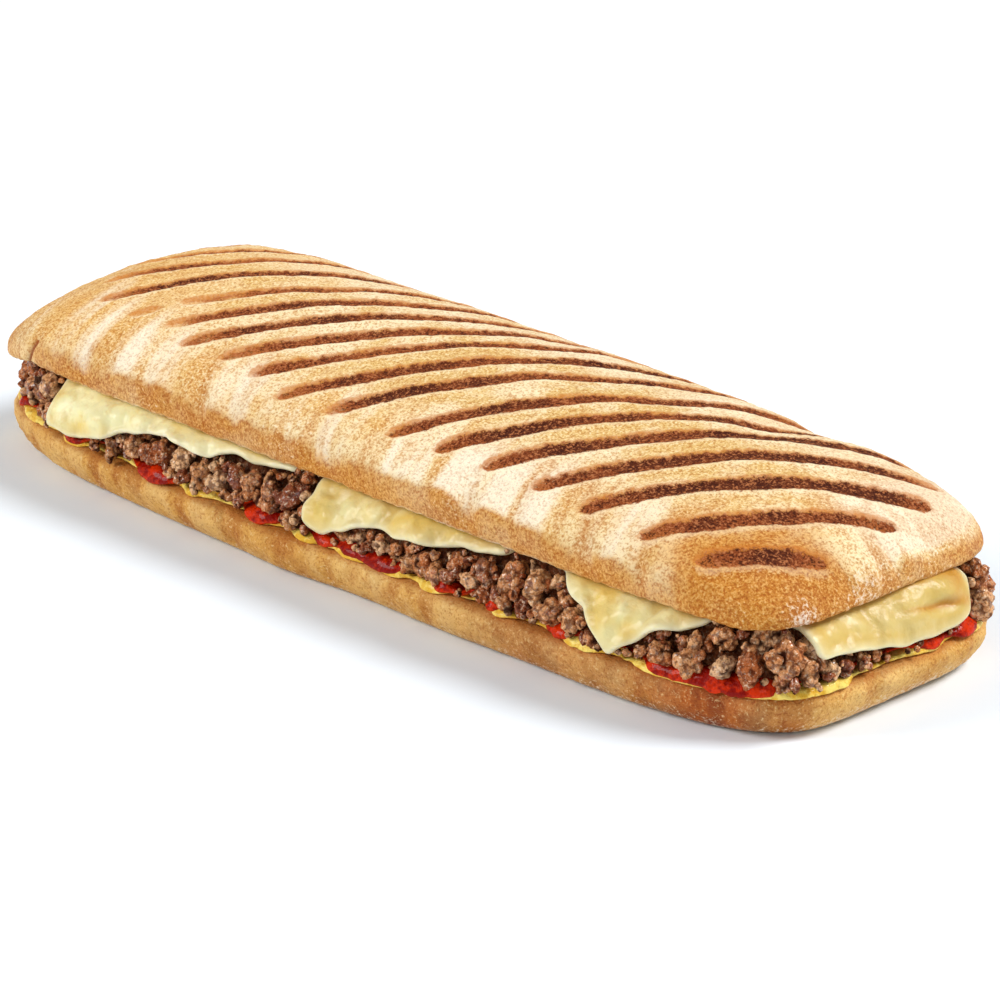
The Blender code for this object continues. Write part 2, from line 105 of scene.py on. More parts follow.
def getPoints(mesh):
    return readValues(mesh.vertices, "co", 3).astype(float)


def setPoints(mesh, points):
    mesh.vertices.foreach_set("co", points.astype(np.float32).ravel())
    mesh.update()


def selectedPoints(mesh):
    return np.flatnonzero(readValues(mesh.vertices, "select", 1, bool))


def setAttributes(mesh, **attributes):
    for name, values in attributes.items():
        layer = mesh.attributes.new(name, "FLOAT", "POINT")
        layer.data.foreach_set("value", np.asarray(values, np.float32))


def smooth(value, low, high):
    # 0 below low, 1 above high
    t = np.clip((value - low) / (high - low), 0.0, 1.0)
    return t * t * (3.0 - 2.0 * t)


def fade(value, low, high):
    return 1.0 - smooth(value, low, high)


def hump(offset, width, otherOffset=0.0, otherWidth=1.0):
    # 1 where the offsets are 0, falling off over the widths
    return np.exp(-(offset / width) ** 2 - (otherOffset / otherWidth) ** 2)


def spotAt(x, y, spotX, spotY, size):
    # a round hump whose place and size are in mm
    return np.exp(-((x - spotX * mm) ** 2 + (y - spotY * mm) ** 2) / (size * mm) ** 2)


def noiseAt(points, size, seed=0.0):
    # Perlin noise from -1 to 1 whose lumps are about size across
    if isinstance(points, tuple):
        points = np.column_stack(points)
    return np.array([noise.noise(Vector(point)) for point in points / size + seed])


def planEnd(plan, x):
    near = x > 0
    return np.where(near, plan["near"], plan["far"]), np.where(near, plan["nearPower"], plan["farPower"])


def planWidth(plan, x):
    length, power = planEnd(plan, x)
    t = np.clip(np.abs(x) / length, 0.0, 1.0)
    return plan["halfWidth"] * (1.0 - t ** power) ** (1.0 / power)


def travelledAlong(x, y):
    # the distance covered along a line of points, from 0
    return np.concatenate(([0.0], np.cumsum(np.hypot(np.diff(x), np.diff(y)))))


def evenOutline(plan, count):
    # points at even steps round a plan, from +X towards +Y, with their outward normals
    turn = np.linspace(0.0, math.tau, count * 30 + 1)
    cosine, sine = np.cos(turn), np.sin(turn)
    length, power = planEnd(plan, cosine)
    x = length * np.sign(cosine) * np.abs(cosine) ** (2.0 / power)
    y = plan["halfWidth"] * np.sign(sine) * np.abs(sine) ** (2.0 / power)
    travelled = travelledAlong(x, y)
    stations = np.linspace(0.0, travelled[-1], count, endpoint=False)
    points = np.column_stack((np.interp(stations, travelled, x), np.interp(stations, travelled, y)))
    along = np.roll(points, -1, axis=0) - np.roll(points, 1, axis=0)
    normals = np.column_stack((along[:, 1], -along[:, 0]))
    return points, normals / np.linalg.norm(normals, axis=1)[:, None]


# Shader maths as Python expressions

class Value:
    def __init__(self, finish, socket):
        self.finish = finish
        self.socket = socket

    def math(self, operation, first, second):
        return self.finish.node("ShaderNodeMath", {"operation": operation}, {0: first, 1: second})

    def __add__(self, other):
        return self.math("ADD", self, other)

    def __sub__(self, other):
        return self.math("SUBTRACT", self, other)

    def __rsub__(self, other):
        return self.math("SUBTRACT", other, self)

    def __mul__(self, other):
        return self.math("MULTIPLY", self, other)

    __radd__ = __add__
    __rmul__ = __mul__

    def step(self, low, high, end=1.0, start=0.0):
        # from start where the value is low to end where it is high
        limits = {"Value": self, "From Min": low, "From Max": high, "To Min": start, "To Max": end}
        return self.finish.node("ShaderNodeMapRange", {"interpolation_type": "SMOOTHSTEP"}, limits)


class Finish:
    def __init__(self, name, **constants):
        self.material = bpy.data.materials.new(name)
        self.material.use_nodes = True
        self.tree = self.material.node_tree
        self.shader = self.tree.nodes["Principled BSDF"]
        for socket, value in constants.items():
            self.shader.inputs[socket.replace("_", " ")].default_value = value
        self.place = self.node("ShaderNodeTexCoord", out="Object")
        self.colour = None  # the base colour, once it has one

    def node(self, kind, settings=None, inputs=None, out=0):
        made = self.tree.nodes.new(kind)
        for key, value in (settings or {}).items():
            setattr(made, key, value)
        for key, value in (inputs or {}).items():
            if isinstance(value, Value):
                self.tree.links.new(value.socket, made.inputs[key])
            else:
                made.inputs[key].default_value = value
        return Value(self, made.outputs[out])

    def noise(self, size, detail=2.0, rough=0.5, stretch=None):
        place = self.place
        if stretch:
            place = self.node("ShaderNodeMapping", None, {"Vector": self.place, "Scale": stretch})
        return self.node("ShaderNodeTexNoise", None,
                         {"Vector": place, "Scale": 1.0 / size, "Detail": detail, "Roughness": rough})

    def cells(self, size):
        inputs = {"Vector": self.place, "Scale": 1.0 / size}
        return self.node("ShaderNodeTexVoronoi", None, inputs, "Distance")

    def attribute(self, name):
        return self.node("ShaderNodeAttribute", {"attribute_name": name}, None, "Fac")

    def mix(self, share, first, second, blend="MIX"):
        inputs = {0: share, 6: first, 7: second}
        for key in (6, 7):
            if isinstance(inputs[key], tuple):
                inputs[key] = paint(*inputs[key])
        return self.node("ShaderNodeMix", {"data_type": "RGBA", "blend_type": blend}, inputs, 2)

    def cover(self, share, colour, blend="MIX"):
        # lays a colour over those so far
        self.colour = self.mix(share, self.colour, colour, blend)

    def feed(self, socket, value):
        self.tree.links.new(value.socket, self.shader.inputs[socket])

    def complete(self, roughness, height, depth, strength=1.0):
        self.feed("Base Color", self.colour)
        self.feed("Roughness", roughness)
        bump = {"Height": height, "Strength": strength, "Distance": depth}
        self.feed("Normal", self.node("ShaderNodeBump", None, bump))
        return self.material


def paint(red, green, blue):
    # a colour as it looks on screen, 0 to 255, as the linear value that a shader takes
    def linear(channel):
        share = channel / 255.0
        return share / 12.92 if share <= 0.04045 else ((share + 0.055) / 1.055) ** 2.4
    return (linear(red), linear(green), linear(blue), 1.0)


# Upper half of the loaf

topLow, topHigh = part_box("top_bread")
topPlan = {"near": topHigh.x, "far": -topLow.x, "halfWidth": topHigh.y, "nearPower": 7.0, "farPower": 8.0}
topBread = {
    "cutFace": 26.9 * mm,  # height of the cut face
    "rim": 1.3 * mm,
    # mm inwards, share of the rim down
    "rimRings": ((0.25, 0.45), (0.75, 0.8), (1.6, 1.0), (3.2, 0.94), (7.0, 0.9)),
    "crown": 20.35 * mm,
    "sidePowers": (1.5, 0.36),
    "endPowers": (5.7, 0.5),
    "tilt": 0.08,
    "cells": (452, 178),
    "swell": {"size": 41.7 * mm, "height": 0.8 * mm},
    "backStep": {"y": (5 * mm, 26 * mm), "rise": 0.7 * mm,
                 "nearX": (88 * mm, 104 * mm), "nearRise": 0.3 * mm},
    "dent": {"x": 80 * mm, "run": 8 * mm, "depth": 1.6 * mm},  # in the back of the crown
    # corners that hang down, in mm: x, y, reach, depth
    "droops": ((128, -44, 8, 1.5), (-130, -40, 9, 2.4)),
    # swellings along the front, painted pale as a highlight, in mm: place, half width, how pale
    "lobes": ((-107, 2.5, 0.6), (-94, 3, 0.7), (-81, 5, 0.9), (-67, 8, 1.0), (-45, 6, 0.8),
              (-34, 2.5, 0.6), (-20, 4, 0.4), (-7, 4, 0.4), (18, 7, 0.9), (36, 5, 1.6), (50, 5, 1.6),
              (62, 7, 1.2), (87, 5, 0.6), (104, 4, 0.3)),
    "lobeHeight": 0.9 * mm,
    # patches of flour: x, y and size in mm, how much
    "flour": ((137, -30, 5.5, 0.85), (140, -10, 10.0, 0.75), (138, 12, 12.0, 0.5), (126, -40, 5.0, 0.35),
              (-20, -40, 16, 0.45), (40, -42, 14, 0.45), (-70, -40, 14, 0.4)),
    # mm along the front and up
    "crack": {"low": (-116.6, 27.0), "high": (-113.6, 33.0), "width": 0.7, "depth": 1.3},
    "foldDepth": 1.45 * mm,
    "foldPitch": 15 * mm,
    "lean": 0.35,  # how far the folds lean as they rise
    "bumps": {"size": 13 * mm, "height": 0.45 * mm},
    "grain": 0.16 * mm,
}
grill = {
    "angle": math.radians(46.1),
    "width": 5.6 * mm,
    "depth": 0.40 * mm,
    "lip": 0.14 * mm,
    "taper": 5 * mm,
}
# from the near end, in mm: where each mark starts and ends along its line, the line's place at both
# and its bow; and how dark it is
marks = (
    (49, 79, 104.2, 105, 1.3, 0.88), (37, 95.5, 93.1, 88.4, 1.9, 0.80), (24, 104.5, 78.4, 76.2, 1.2, 0.98),
    (13.5, 107.5, 66.1, 64.1, 0.6, 0.84), (2, 103, 53.7, 52.2, 0, 0.90), (-9, 92, 42, 41.5, 0, 0.80),
    (-20, 81, 31.5, 30, 0, 0.74), (-35, 68, 15.9, 16.4, 0, 0.76), (-47, 56, 5, 4.5, 0, 0.82),
    (-54, 45, -7, -7, 0, 0.60), (-61, 36, -16.8, -17.5, 0, 0.66), (-71.5, 26, -27.2, -28, 0, 0.58),
    (-75.5, 17, -37.4, -38, 0, 0.68), (-85, -77, -47.6, -47.6, 0, 0.42), (-72, 7, -47.6, -48.5, 0, 0.50),
    (-93, -6, -60.7, -61, 0, 0.60), (-92, -18, -73.8, -74, 0, 0.44), (-85, -31, -87.6, -87.6, 0, 0.40),
    (-76, -42, -98.9, -99, 0, 0.36))


def sectionSteps(cells, reach, powers):
    # places from -1 to 1 that lie evenly along the arched section
    fine = np.linspace(0.0, 1.0, 4000)
    height = topBread["crown"] * (1.0 - fine ** powers[0]) ** powers[1]
    travelled = travelledAlong(fine * reach, height)
    even = np.linspace(-1.0, 1.0, cells + 1)
    return np.sign(even) * np.interp(np.abs(even) * travelled[-1], travelled, fine)


def crownHeight(x, y):
    width = np.maximum(planWidth(topPlan, x), 1e-6)
    length, _ = planEnd(topPlan, x)
    along = np.clip(np.abs(x) / length, 0.0, 1.0)
    across = np.clip(np.abs(y) / width, 0.0, 1.0)
    endPower, endRoot = topBread["endPowers"]
    sidePower, sideRoot = topBread["sidePowers"]
    height = (1.0 - along ** endPower) ** endRoot * (1.0 - across ** sidePower) ** sideRoot
    tilt = 1.0 + topBread["tilt"] * y / topPlan["halfWidth"]
    dent, back, swell = topBread["dent"], topBread["backStep"], topBread["swell"]
    step = back["rise"] * fade(x, dent["x"] - 2 * dent["run"], dent["x"])
    step += back["nearRise"] * smooth(x, *back["nearX"])
    step = smooth(y, *back["y"]) * (step - dent["depth"] * hump(x - dent["x"], dent["run"]))
    swelling = swell["height"] * noiseAt((x, y, 0 * x), swell["size"])
    return topBread["crown"] * height * tilt + (step + swelling) * np.minimum(height * 1.6, 1.0), height


def grillField(x, y):
    # how far inside a grill mark a point lies: 1 on its middle line, 0 at its edge, below 0 outside
    across = math.sin(grill["angle"]) * x - math.cos(grill["angle"]) * y
    along = math.cos(grill["angle"]) * x + math.sin(grill["angle"]) * y
    nearest = np.full((5, len(x)), np.inf)
    for number, (start, end, frontLine, backLine, bow, darkness) in enumerate(marks):
        share = np.clip((along / mm - start) / (end - start), 0.0, 1.0)
        off = across - (frontLine + (backLine - frontLine) * share + 4 * bow * share * (1 - share)) * mm
        beyond = np.minimum(along - start * mm, end * mm - along)
        distance = np.abs(off) - np.minimum(beyond, 0.0)
        mark = np.stack(np.broadcast_arrays(distance, off, beyond, darkness, number))
        nearest = np.where(distance < nearest[0], mark, nearest)
    _, away, toEnd, dark, number = nearest

    def noiseAlong(size, seed):
        return noiseAt((along / size, number * 0.7, 0 * x), 1.0, seed)

    wander = 0.16 * noiseAlong(24 * mm, 3.1) + 0.14 * noiseAlong(6 * mm, 9.7)
    share = np.clip(toEnd / grill["taper"], -1.0, 1.0)
    width = np.where(share > 0, np.sqrt(np.maximum(1.0 - (1.0 - share) ** 2, 0.0)), 0.0)
    half = 0.5 * grill["width"] * (0.50 + 0.50 * dark)
    inside = width ** 0.8 - np.abs(away) / half + wander * width
    inside = np.where(share < 0, np.minimum(inside, share * 2.0), inside)
    uneven = 0.36 * noiseAlong(30 * mm, 17.0) + 0.34 * noiseAlong(9 * mm, 2.0)
    burn = dark + uneven - 0.45 * fade(toEnd, 0.0, 16 * mm)
    lean = np.clip(away / half, -1.0, 1.0)  # 1 on the mark's edge towards the near end
    return np.clip(inside, -1.5, 1.0), np.clip(burn, 0.0, 1.2), lean


def frontBack(y):
    # sets the two sides' noise apart, with a soft passage between them at the ends
    return 0.02 * np.clip(y / (14 * mm), -1.0, 1.0)


def onFront(y):
    return smooth(-y, 0.0, 16 * mm)


def paleLobes(x, y, z):
    # the swellings of the front side, which lean with the folds
    place = x + topBread["lean"] * (z - 34 * mm)
    lobes = sum(pale * hump(place - middle * mm, half * mm) for middle, half, pale in topBread["lobes"])
    return lobes * onFront(y)


def sideFolds(x, y, z):
    # upright folds of three sizes that lean a little along the side
    around = np.column_stack((x + topBread["lean"] * z, frontBack(y) + y * 0.12, z * 0.20))
    pitch = topBread["foldPitch"]
    folds = np.minimum(np.abs(noiseAt(around, pitch, 4.0)) * 2.6, 1.0)
    creases = noiseAt(around, pitch * 0.38, 11.0)
    wrinkles = noiseAt(around * np.array((1.0, 1.0, 1.6)), pitch * 0.15, 19.0)
    return folds, creases, wrinkles


def warmth(x, y, z, arch):
    # above 0 the crust is a deeper orange: low on the side and at both ends; below 0 it is paler, a painted
    # sheen at the back of the top and at the back of the near end
    low = fade(arch, 0.10, 0.38) * (1.0 - 0.6 * smooth(-x, 96 * mm, 124 * mm))
    nearFront = hump(x - 132 * mm, 30 * mm, y + 36 * mm, 24 * mm) * fade(arch, 0.55, 0.90)
    nearLow = smooth(x, 118 * mm, 134 * mm) * fade(arch, 0.06, 0.30)
    far = 0.30 * smooth(-x, 74 * mm, 118 * mm) * smooth(arch, 0.30, 0.70)
    uneven = 0.30 * noiseAt((x, y, z), 17 * mm, 14.0)
    deep = np.maximum.reduce((0.70 * low, 1.35 * nearFront, 0.5 * nearLow, far))
    nearBack = smooth(x, 104 * mm, 130 * mm) * smooth(y, -16 * mm, 14 * mm) * smooth(arch, 0.10, 0.40)
    # painted sheen: paler where the key lamp lights the back of the top and of the near end
    paintedSheen = np.maximum(1.4 * nearBack, 0.50 * smooth(y, -6 * mm, 22 * mm) * smooth(arch, 0.35, 0.7))
    return np.clip(deep * (1.0 - paintedSheen) + uneven - paintedSheen, -1.0, 1.0)


def crackAt(x, y, z):
    # 1 in the middle of the short crack at the far end of the front
    crack = topBread["crack"]
    low, high = np.array(crack["low"]) * mm, np.array(crack["high"]) * mm
    spot = np.column_stack((x, z))
    share = np.clip((spot - low) @ (high - low) / ((high - low) @ (high - low)), 0.0, 1.0)
    away = np.linalg.norm(spot - low - share[:, None] * (high - low), axis=1)
    return hump(away, crack["width"] * mm) * (y < 0)


def sagAt(x, y):
    return sum(depth * mm * spotAt(x, y, *spot) for *spot, depth in topBread["droops"])


def crustGrid():
    # an even grid bent over the crown, its square rim brought to the plan's outline
    columns, rows = topBread["cells"]
    piece = newGrid("crust_top", columns, rows)
    points = getPoints(piece.data)
    uSteps = sectionSteps(columns, topPlan["near"], topBread["endPowers"])
    vSteps = sectionSteps(rows, topPlan["halfWidth"], topBread["sidePowers"])
    u = uSteps[np.rint((points[:, 0] + 1) / 2 * columns).astype(int)]
    v = vSteps[np.rint((points[:, 1] + 1) / 2 * rows).astype(int)]
    length, power = planEnd(topPlan, u)
    square = np.maximum(np.abs(u), np.abs(v))
    roundSize = np.maximum((np.abs(u) ** power + np.abs(v) ** power) ** (1 / power), 1e-9)
    x = u * square / roundSize * length
    y = v * square / roundSize * topPlan["halfWidth"]
    height, arch = crownHeight(x, y)
    z = topBread["cutFace"] + topBread["rim"] + np.maximum(height, 0.0) - sagAt(x, y)
    setPoints(piece.data, np.column_stack((x, y, z)))
    return piece, np.column_stack((x, y, z)), arch


def pressRelief(mesh, points, arch):
    # relief along the normals: folds in the side, grain all over, and the pressed grill marks
    x, y, z = points.T
    normals = readValues(mesh.vertex_normals, "vector", 3).astype(float)
    side = smooth(1.0 - normals[:, 2], 0.06, 0.60)
    edge = smooth(arch, 0.0, 0.30)
    folds, creases, wrinkles = sideFolds(x, y, z)
    relief = topBread["foldDepth"] * side * edge * (folds - 0.4)
    relief += topBread["lobeHeight"] * side * edge * (paleLobes(x, y, z) - 0.3 * onFront(y))
    relief += 0.42 * topBread["foldDepth"] * side * edge * creases
    relief += 0.16 * topBread["foldDepth"] * side * edge * wrinkles
    relief += topBread["bumps"]["height"] * noiseAt(points, topBread["bumps"]["size"], 1.0) * edge
    grain = noiseAt(points, 2.4 * mm, 7.0) + 0.8 * noiseAt(points, 1.3 * mm, 21.0)
    relief += topBread["grain"] * grain * (0.4 + 0.6 * edge)
    relief -= topBread["crack"]["depth"] * mm * crackAt(x, y, z)
    inside, _, _ = grillField(x, y)
    groove = grill["depth"] * smooth(inside, 0.0, 0.55)
    relief += (grill["lip"] * hump(inside + 0.35, 0.30) - groove) * edge
    setPoints(mesh, points + normals * relief[:, None])


def nearestStart(ring, start):
    # the rim point that each point of a new ring was drawn from
    finder = KDTree(len(start))
    for index, point in enumerate(start):
        finder.insert(Vector(point), index)
    finder.balance()
    return np.array([start[finder.find(Vector(point))[1]] for point in ring])


def turnRimUnder(piece):
    # the rim turns under to the cut face, a little ragged
    mesh = piece.data
    makeActive(piece)
    setMode("EDIT")
    bpy.ops.mesh.select_mode(type="EDGE")
    bpy.ops.mesh.select_all(action="DESELECT")
    bpy.ops.mesh.select_non_manifold(extend=False, use_wire=False, use_boundary=True,
                                     use_multi_face=False, use_non_contiguous=False, use_verts=False)
    setMode("OBJECT")
    ringStart = getPoints(mesh)[selectedPoints(mesh)]
    for inset, depth in topBread["rimRings"]:
        setMode("EDIT")
        bpy.ops.mesh.extrude_region_move()
        setMode("OBJECT")
        chosen = selectedPoints(mesh)
        points = getPoints(mesh)
        ring = points[chosen]
        out = ring[:, :2] / np.array((topPlan["near"], topPlan["halfWidth"])) ** 2
        out /= np.linalg.norm(out, axis=1)[:, None]
        start = nearestStart(ring, ringStart)
        torn = mm * (0.35 * noiseAt(start, 5 * mm, 3.0) + 0.35 * noiseAt(start, 1.9 * mm, 8.0))
        ring[:, :2] = start[:, :2] - out * inset * mm
        bottom = topBread["cutFace"] - sagAt(start[:, 0], start[:, 1])
        ring[:, 2] = np.maximum(start[:, 2] + (bottom - start[:, 2]) * depth + torn, bottom)
        points[chosen] = ring
        setPoints(mesh, points)
    setMode("EDIT")
    bpy.ops.mesh.edge_face_add()
    setMode("OBJECT")


def describeCrust(mesh):
    # what the finish needs to know about each point
    x, y, z = getPoints(mesh).T
    inside, burn, lean = grillField(x, y)
    above = smooth(z, topBread["cutFace"] + 4 * mm, topBread["cutFace"] + 9 * mm)
    _, arch = crownHeight(x, y)
    folds, creases, wrinkles = sideFolds(x, y, z)
    upright = np.column_stack((x + 0.45 * z, frontBack(y) + y * 0.1, z * 0.16))
    front = fade(x, 84 * mm, 108 * mm) * (0.35 + 0.65 * smooth(-y, -4 * mm, 12 * mm))
    setAttributes(
        mesh, char=np.where(above > 0, inside * above - (1 - above), -1.0), burn=burn, lean=lean, arch=arch,
        front=front * smooth(arch, 0.12, 0.35), facing=smooth(-y, -16 * mm, 4 * mm),
        gold=smooth(-x, 40 * mm, 106 * mm) * smooth(arch, 0.15, 0.60),
        lobe=paleLobes(x, y, z), crack=crackAt(x, y, z), fold=folds + 0.35 * creases + 0.2 * wrinkles,
        warm=warmth(x, y, z, arch),
        flour=np.clip(sum(much * spotAt(x, y, *spot) for *spot, much in topBread["flour"]), 0.0, 1.0),
        streak=noiseAt(upright, 6.5 * mm, 31.0) + 0.55 * noiseAt(upright, 2.4 * mm, 37.0))


def buildTopBread():
    piece, points, arch = crustGrid()
    pressRelief(piece.data, points, arch)
    turnRimUnder(piece)
    describeCrust(piece.data)
    smoothFaces(piece, 70)
    return piece


def topFinish():
    finish = Finish("grilled_crust", Specular_IOR_Level=0.11)
    char, burn, lean, fold, arch = map(finish.attribute, ("char", "burn", "lean", "fold", "arch"))
    warm, flour, streak, lobe = map(finish.attribute, ("warm", "flour", "streak", "lobe"))
    broad = finish.noise(36 * mm)
    patches = finish.noise(11 * mm, 3.0, 0.6)
    ragged = finish.noise(2.0 * mm, 3.0, 0.7)
    speckle = finish.noise(1.15 * mm, 3.0, 0.65)
    fine = finish.noise(0.6 * mm, 2.0, 0.65)
    grain = speckle * 0.5 + fine * 0.5

    # the plain crust, paler on the side, with a painted sheen at the back, brown folds whose creases are
    # partly painted shade, and a painted highlight on the lobes and the pale streaks
    tone = (broad * 0.45 + patches * 0.55).step(0.42, 0.58)
    finish.colour = finish.mix(tone, (230, 191, 118), (249, 229, 186))
    side = arch.step(0.92, 0.66) * (0.45 + 0.55 * finish.attribute("facing"))
    finish.cover(side * 0.85, finish.mix(patches.step(0.38, 0.62), (237, 195, 124), (250, 227, 176)))
    # painted sheen: paler where the value is below 0
    finish.cover(warm.step(-0.05, -0.9), (253, 238, 208))
    finish.cover(streak.step(-0.05, -0.42) * side * 0.55, (216, 154, 76))
    # darker brown in the folds' creases: partly the crust's own colour, partly painted shade
    finish.cover(fold.step(0.50, 0.0) * side * 0.6, (206, 138, 62))
    gold = finish.attribute("gold") * (patches * 0.4 + broad * 0.6).step(0.40, 0.56, end=0.85, start=0.35)
    finish.cover(gold, finish.mix(patches, (243, 204, 126), (228, 170, 80)))
    finish.cover(warm.step(0.0, 1.0) * 0.95, finish.mix(patches, (215, 148, 58), (183, 107, 35)))
    # painted highlight: pale on the front's lobes and streaks, where the lamps shine on the side
    paintedShine = (lobe * 0.8 + streak * 0.9 + (speckle - 0.5) * 0.5).step(0.10, 1.05)
    paintedShine *= side * finish.attribute("front")
    finish.cover(paintedShine * 0.9, (254, 243, 220))

    # dark and light grain, painted as shade in its hollows and as highlight on its peaks (the peaks partly
    # flour), then flour and the crack
    calm = 1.0 - 0.4 * paintedShine
    # painted shade in the grain's hollows
    shadedValley = grain.step(0.53, 0.41) * warm.step(-0.8, 0.0, end=0.55, start=0.25) * calm
    finish.cover(shadedValley, (212, 158, 92), "MULTIPLY")
    # painted highlight on the grain's peaks, partly flour
    light = finish.mix(warm.step(-0.1, 0.6), (255, 240, 200), (240, 190, 116))
    finish.cover(grain.step(0.50, 0.62, 0.4), light)
    finish.cover(fine.step(0.55, 0.66, 0.5), light)
    finish.cover(fine.step(0.46, 0.34, 0.4) * calm, (206, 152, 90), "MULTIPLY")
    dusted = (flour + (speckle - 0.5) * 1.8 + (fine - 0.5) * 1.4).step(0.55, 1.1)
    finish.cover(dusted * 0.65, (252, 240, 228))
    finish.cover(finish.attribute("crack").step(0.3, 0.9, 0.8), (150, 62, 20))

    # the grill marks, with a pale lip towards the near end, painted as a highlight on the raised lip, and a
    # brown one on the other side
    edge = char + (ragged - 0.5) * 1.2 + (fine - 0.5)
    # painted highlight on the raised lip
    lip = edge.step(-0.8, -0.2) * lean.step(0.3, 0.9) * warm.step(0.7, 0.2, end=0.4, start=0.22)
    finish.cover(lip, (255, 238, 200))
    finish.cover(edge.step(-0.40, -0.04) * lean.step(0.6, -0.6) * 0.7, (202, 122, 50))
    shade = burn + char * 0.12 + (speckle - 0.5) * 0.9 + (patches - 0.5) * 0.9 - 0.12 * lean
    charred = finish.mix(shade.step(0.12, 0.66), (188, 108, 48), (136, 66, 30))
    charred = finish.mix(shade.step(0.70, 1.12), charred, (88, 38, 18))
    charred = finish.mix(grain.step(0.51, 0.59, 0.8), charred, (190, 118, 72))
    charred = finish.mix(grain.step(0.49, 0.42, 0.85), charred, (56, 20, 8))
    dark = (edge + (burn - 0.7) * 0.3).step(0.0, 0.30) * (burn + (speckle - 0.5) * 0.8).step(0.0, 0.3)
    finish.cover(dark, charred)
    height = grain + finish.noise(3.2 * mm) * 0.3
    return finish.complete(0.42 + 0.24 * speckle + 0.2 * dark, height, 0.85 * mm)


topPiece = buildTopBread()
topPiece.data.materials.append(topFinish())
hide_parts("top_bread")
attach(topPiece, "root")
print("upper loaf made:", len(topPiece.data.polygons), "faces")


# Lower half of the loaf

_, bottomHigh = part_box("bottom_bread")
bottomPlan = {"near": 142.2 * mm, "far": 142.2 * mm, "halfWidth": 49.2 * mm,
              "nearPower": 4.9, "farPower": 4.2}
bottomBread = {
    "segments": 1040,
    "rings": 26,
    "slack": 0.9 * mm,  # how far the side stands inside the plan
    # height and how far in from the side, in mm
    "profile": ((0.0, 6.2), (0.7, 4.0), (2.0, 2.4), (4.2, 1.0), (6.6, 0.15), (8.2, 0.0), (9.4, 0.3),
                (10.3, 1.0), (10.8, 1.9), (11.0, 3.0)),
    "wave": {"size": 35.7 * mm, "depth": 0.7 * mm},
    "bulge": {"x": -18 * mm, "run": 15 * mm, "depth": 1.2 * mm},
    "crease": {"x": -33 * mm, "width": 1.3 * mm, "depth": 0.9 * mm},
    "grain": 0.18 * mm,
}


def ringedPiece(name, segments, rings, low, high):
    # a cylinder whose wall is cut into rings, still round: its points are moved to an outline next
    deselectAll()
    bpy.ops.mesh.primitive_cylinder_add(vertices=segments, radius=1.0, depth=high - low,
                                        end_fill_type="NGON", location=(0.0, 0.0, (low + high) / 2))
    piece = newPiece(name)
    bpy.ops.object.transform_apply(location=True, rotation=False, scale=False)
    setMode("EDIT")
    bpy.ops.mesh.select_mode(type="EDGE")
    bpy.ops.mesh.select_all(action="DESELECT")
    setMode("OBJECT")
    mesh = piece.data
    heights = getPoints(mesh)[:, 2]
    ends = readValues(mesh.edges, "vertices", 2, np.int32)
    upright = np.abs(heights[ends[:, 0]] - heights[ends[:, 1]]) > 1e-6
    mesh.vertices.foreach_set("select", np.zeros(len(mesh.vertices), bool))
    mesh.polygons.foreach_set("select", np.zeros(len(mesh.polygons), bool))
    mesh.edges.foreach_set("select", upright)
    setMode("EDIT")
    bpy.ops.mesh.subdivide(number_cuts=rings)
    setMode("OBJECT")
    return piece


def roundOutline(points, plan, count):
    # for each point of a ringed cylinder, its place on the plan, the outward normal there and its number
    outline, out = evenOutline(plan, count)
    index = np.rint(np.arctan2(points[:, 1], points[:, 0]) / math.tau * count).astype(int) % count
    return outline[index], out[index], index


def buildBottomBread():
    high = bottomHigh.z
    piece = ringedPiece("crust_bottom", bottomBread["segments"], bottomBread["rings"], 0.0, high)
    mesh = piece.data
    points = getPoints(mesh)
    base, normal, _ = roundOutline(points, bottomPlan, bottomBread["segments"])
    x, y = base.T
    front = y < 0
    heights, insets = np.array(bottomBread["profile"]).T * mm
    travelled = travelledAlong(heights, insets)
    even = points[:, 2] / high * travelled[-1]
    level = np.interp(even, travelled, heights)
    inset = np.interp(even, travelled, insets)
    wave, bulge, crease = bottomBread["wave"], bottomBread["bulge"], bottomBread["crease"]
    out = wave["depth"] * noiseAt((x, y, 3 * level), wave["size"])
    out += bulge["depth"] * front * hump(x - bulge["x"], bulge["run"])
    out -= inset + 1.6 * mm * smooth(x, 116 * mm, 136 * mm) * (1 - level / high) + bottomBread["slack"]
    points = np.column_stack((base + normal * out[:, None], level))
    side = smooth(level, 0.2 * mm, 2.0 * mm) * fade(level, high - 0.4 * mm, high - 0.02 * mm)
    streak = noiseAt((x, y, level * 0.3), 6 * mm, 2.0)
    relief = 0.55 * mm * streak + 0.35 * mm * noiseAt(points, 4 * mm, 5.0)
    relief -= crease["depth"] * hump(x - crease["x"] + 0.5 * level, crease["width"]) * front
    relief += bottomBread["grain"] * (noiseAt(points, 2.2 * mm, 8.0) + 0.7 * noiseAt(points, 1.1 * mm, 3.0))
    points[:, :2] += normal * (side * relief)[:, None]
    squeeze = min(1.0, bottomHigh.y / points[:, 1].max())  # the back stays inside the CAD box
    points[:, 1] *= np.where(points[:, 1] > 0, squeeze, 1.0)
    setPoints(mesh, points)
    corner = hump(x - 118 * mm, 22 * mm, y + 42 * mm, 14 * mm) + 0.55 * hump(x - 70 * mm, 26 * mm) * front
    dust = 0.30 + 0.35 * smooth(x, 126 * mm, 140 * mm) * smooth(y, -40 * mm, -12 * mm)
    dust += 0.15 * smooth(x, 20 * mm, 100 * mm)
    setAttributes(mesh, level=points[:, 2] / high, streak=streak, corner=np.clip(corner, 0, 1), dust=dust)
    smoothFaces(piece, 50)
    return piece


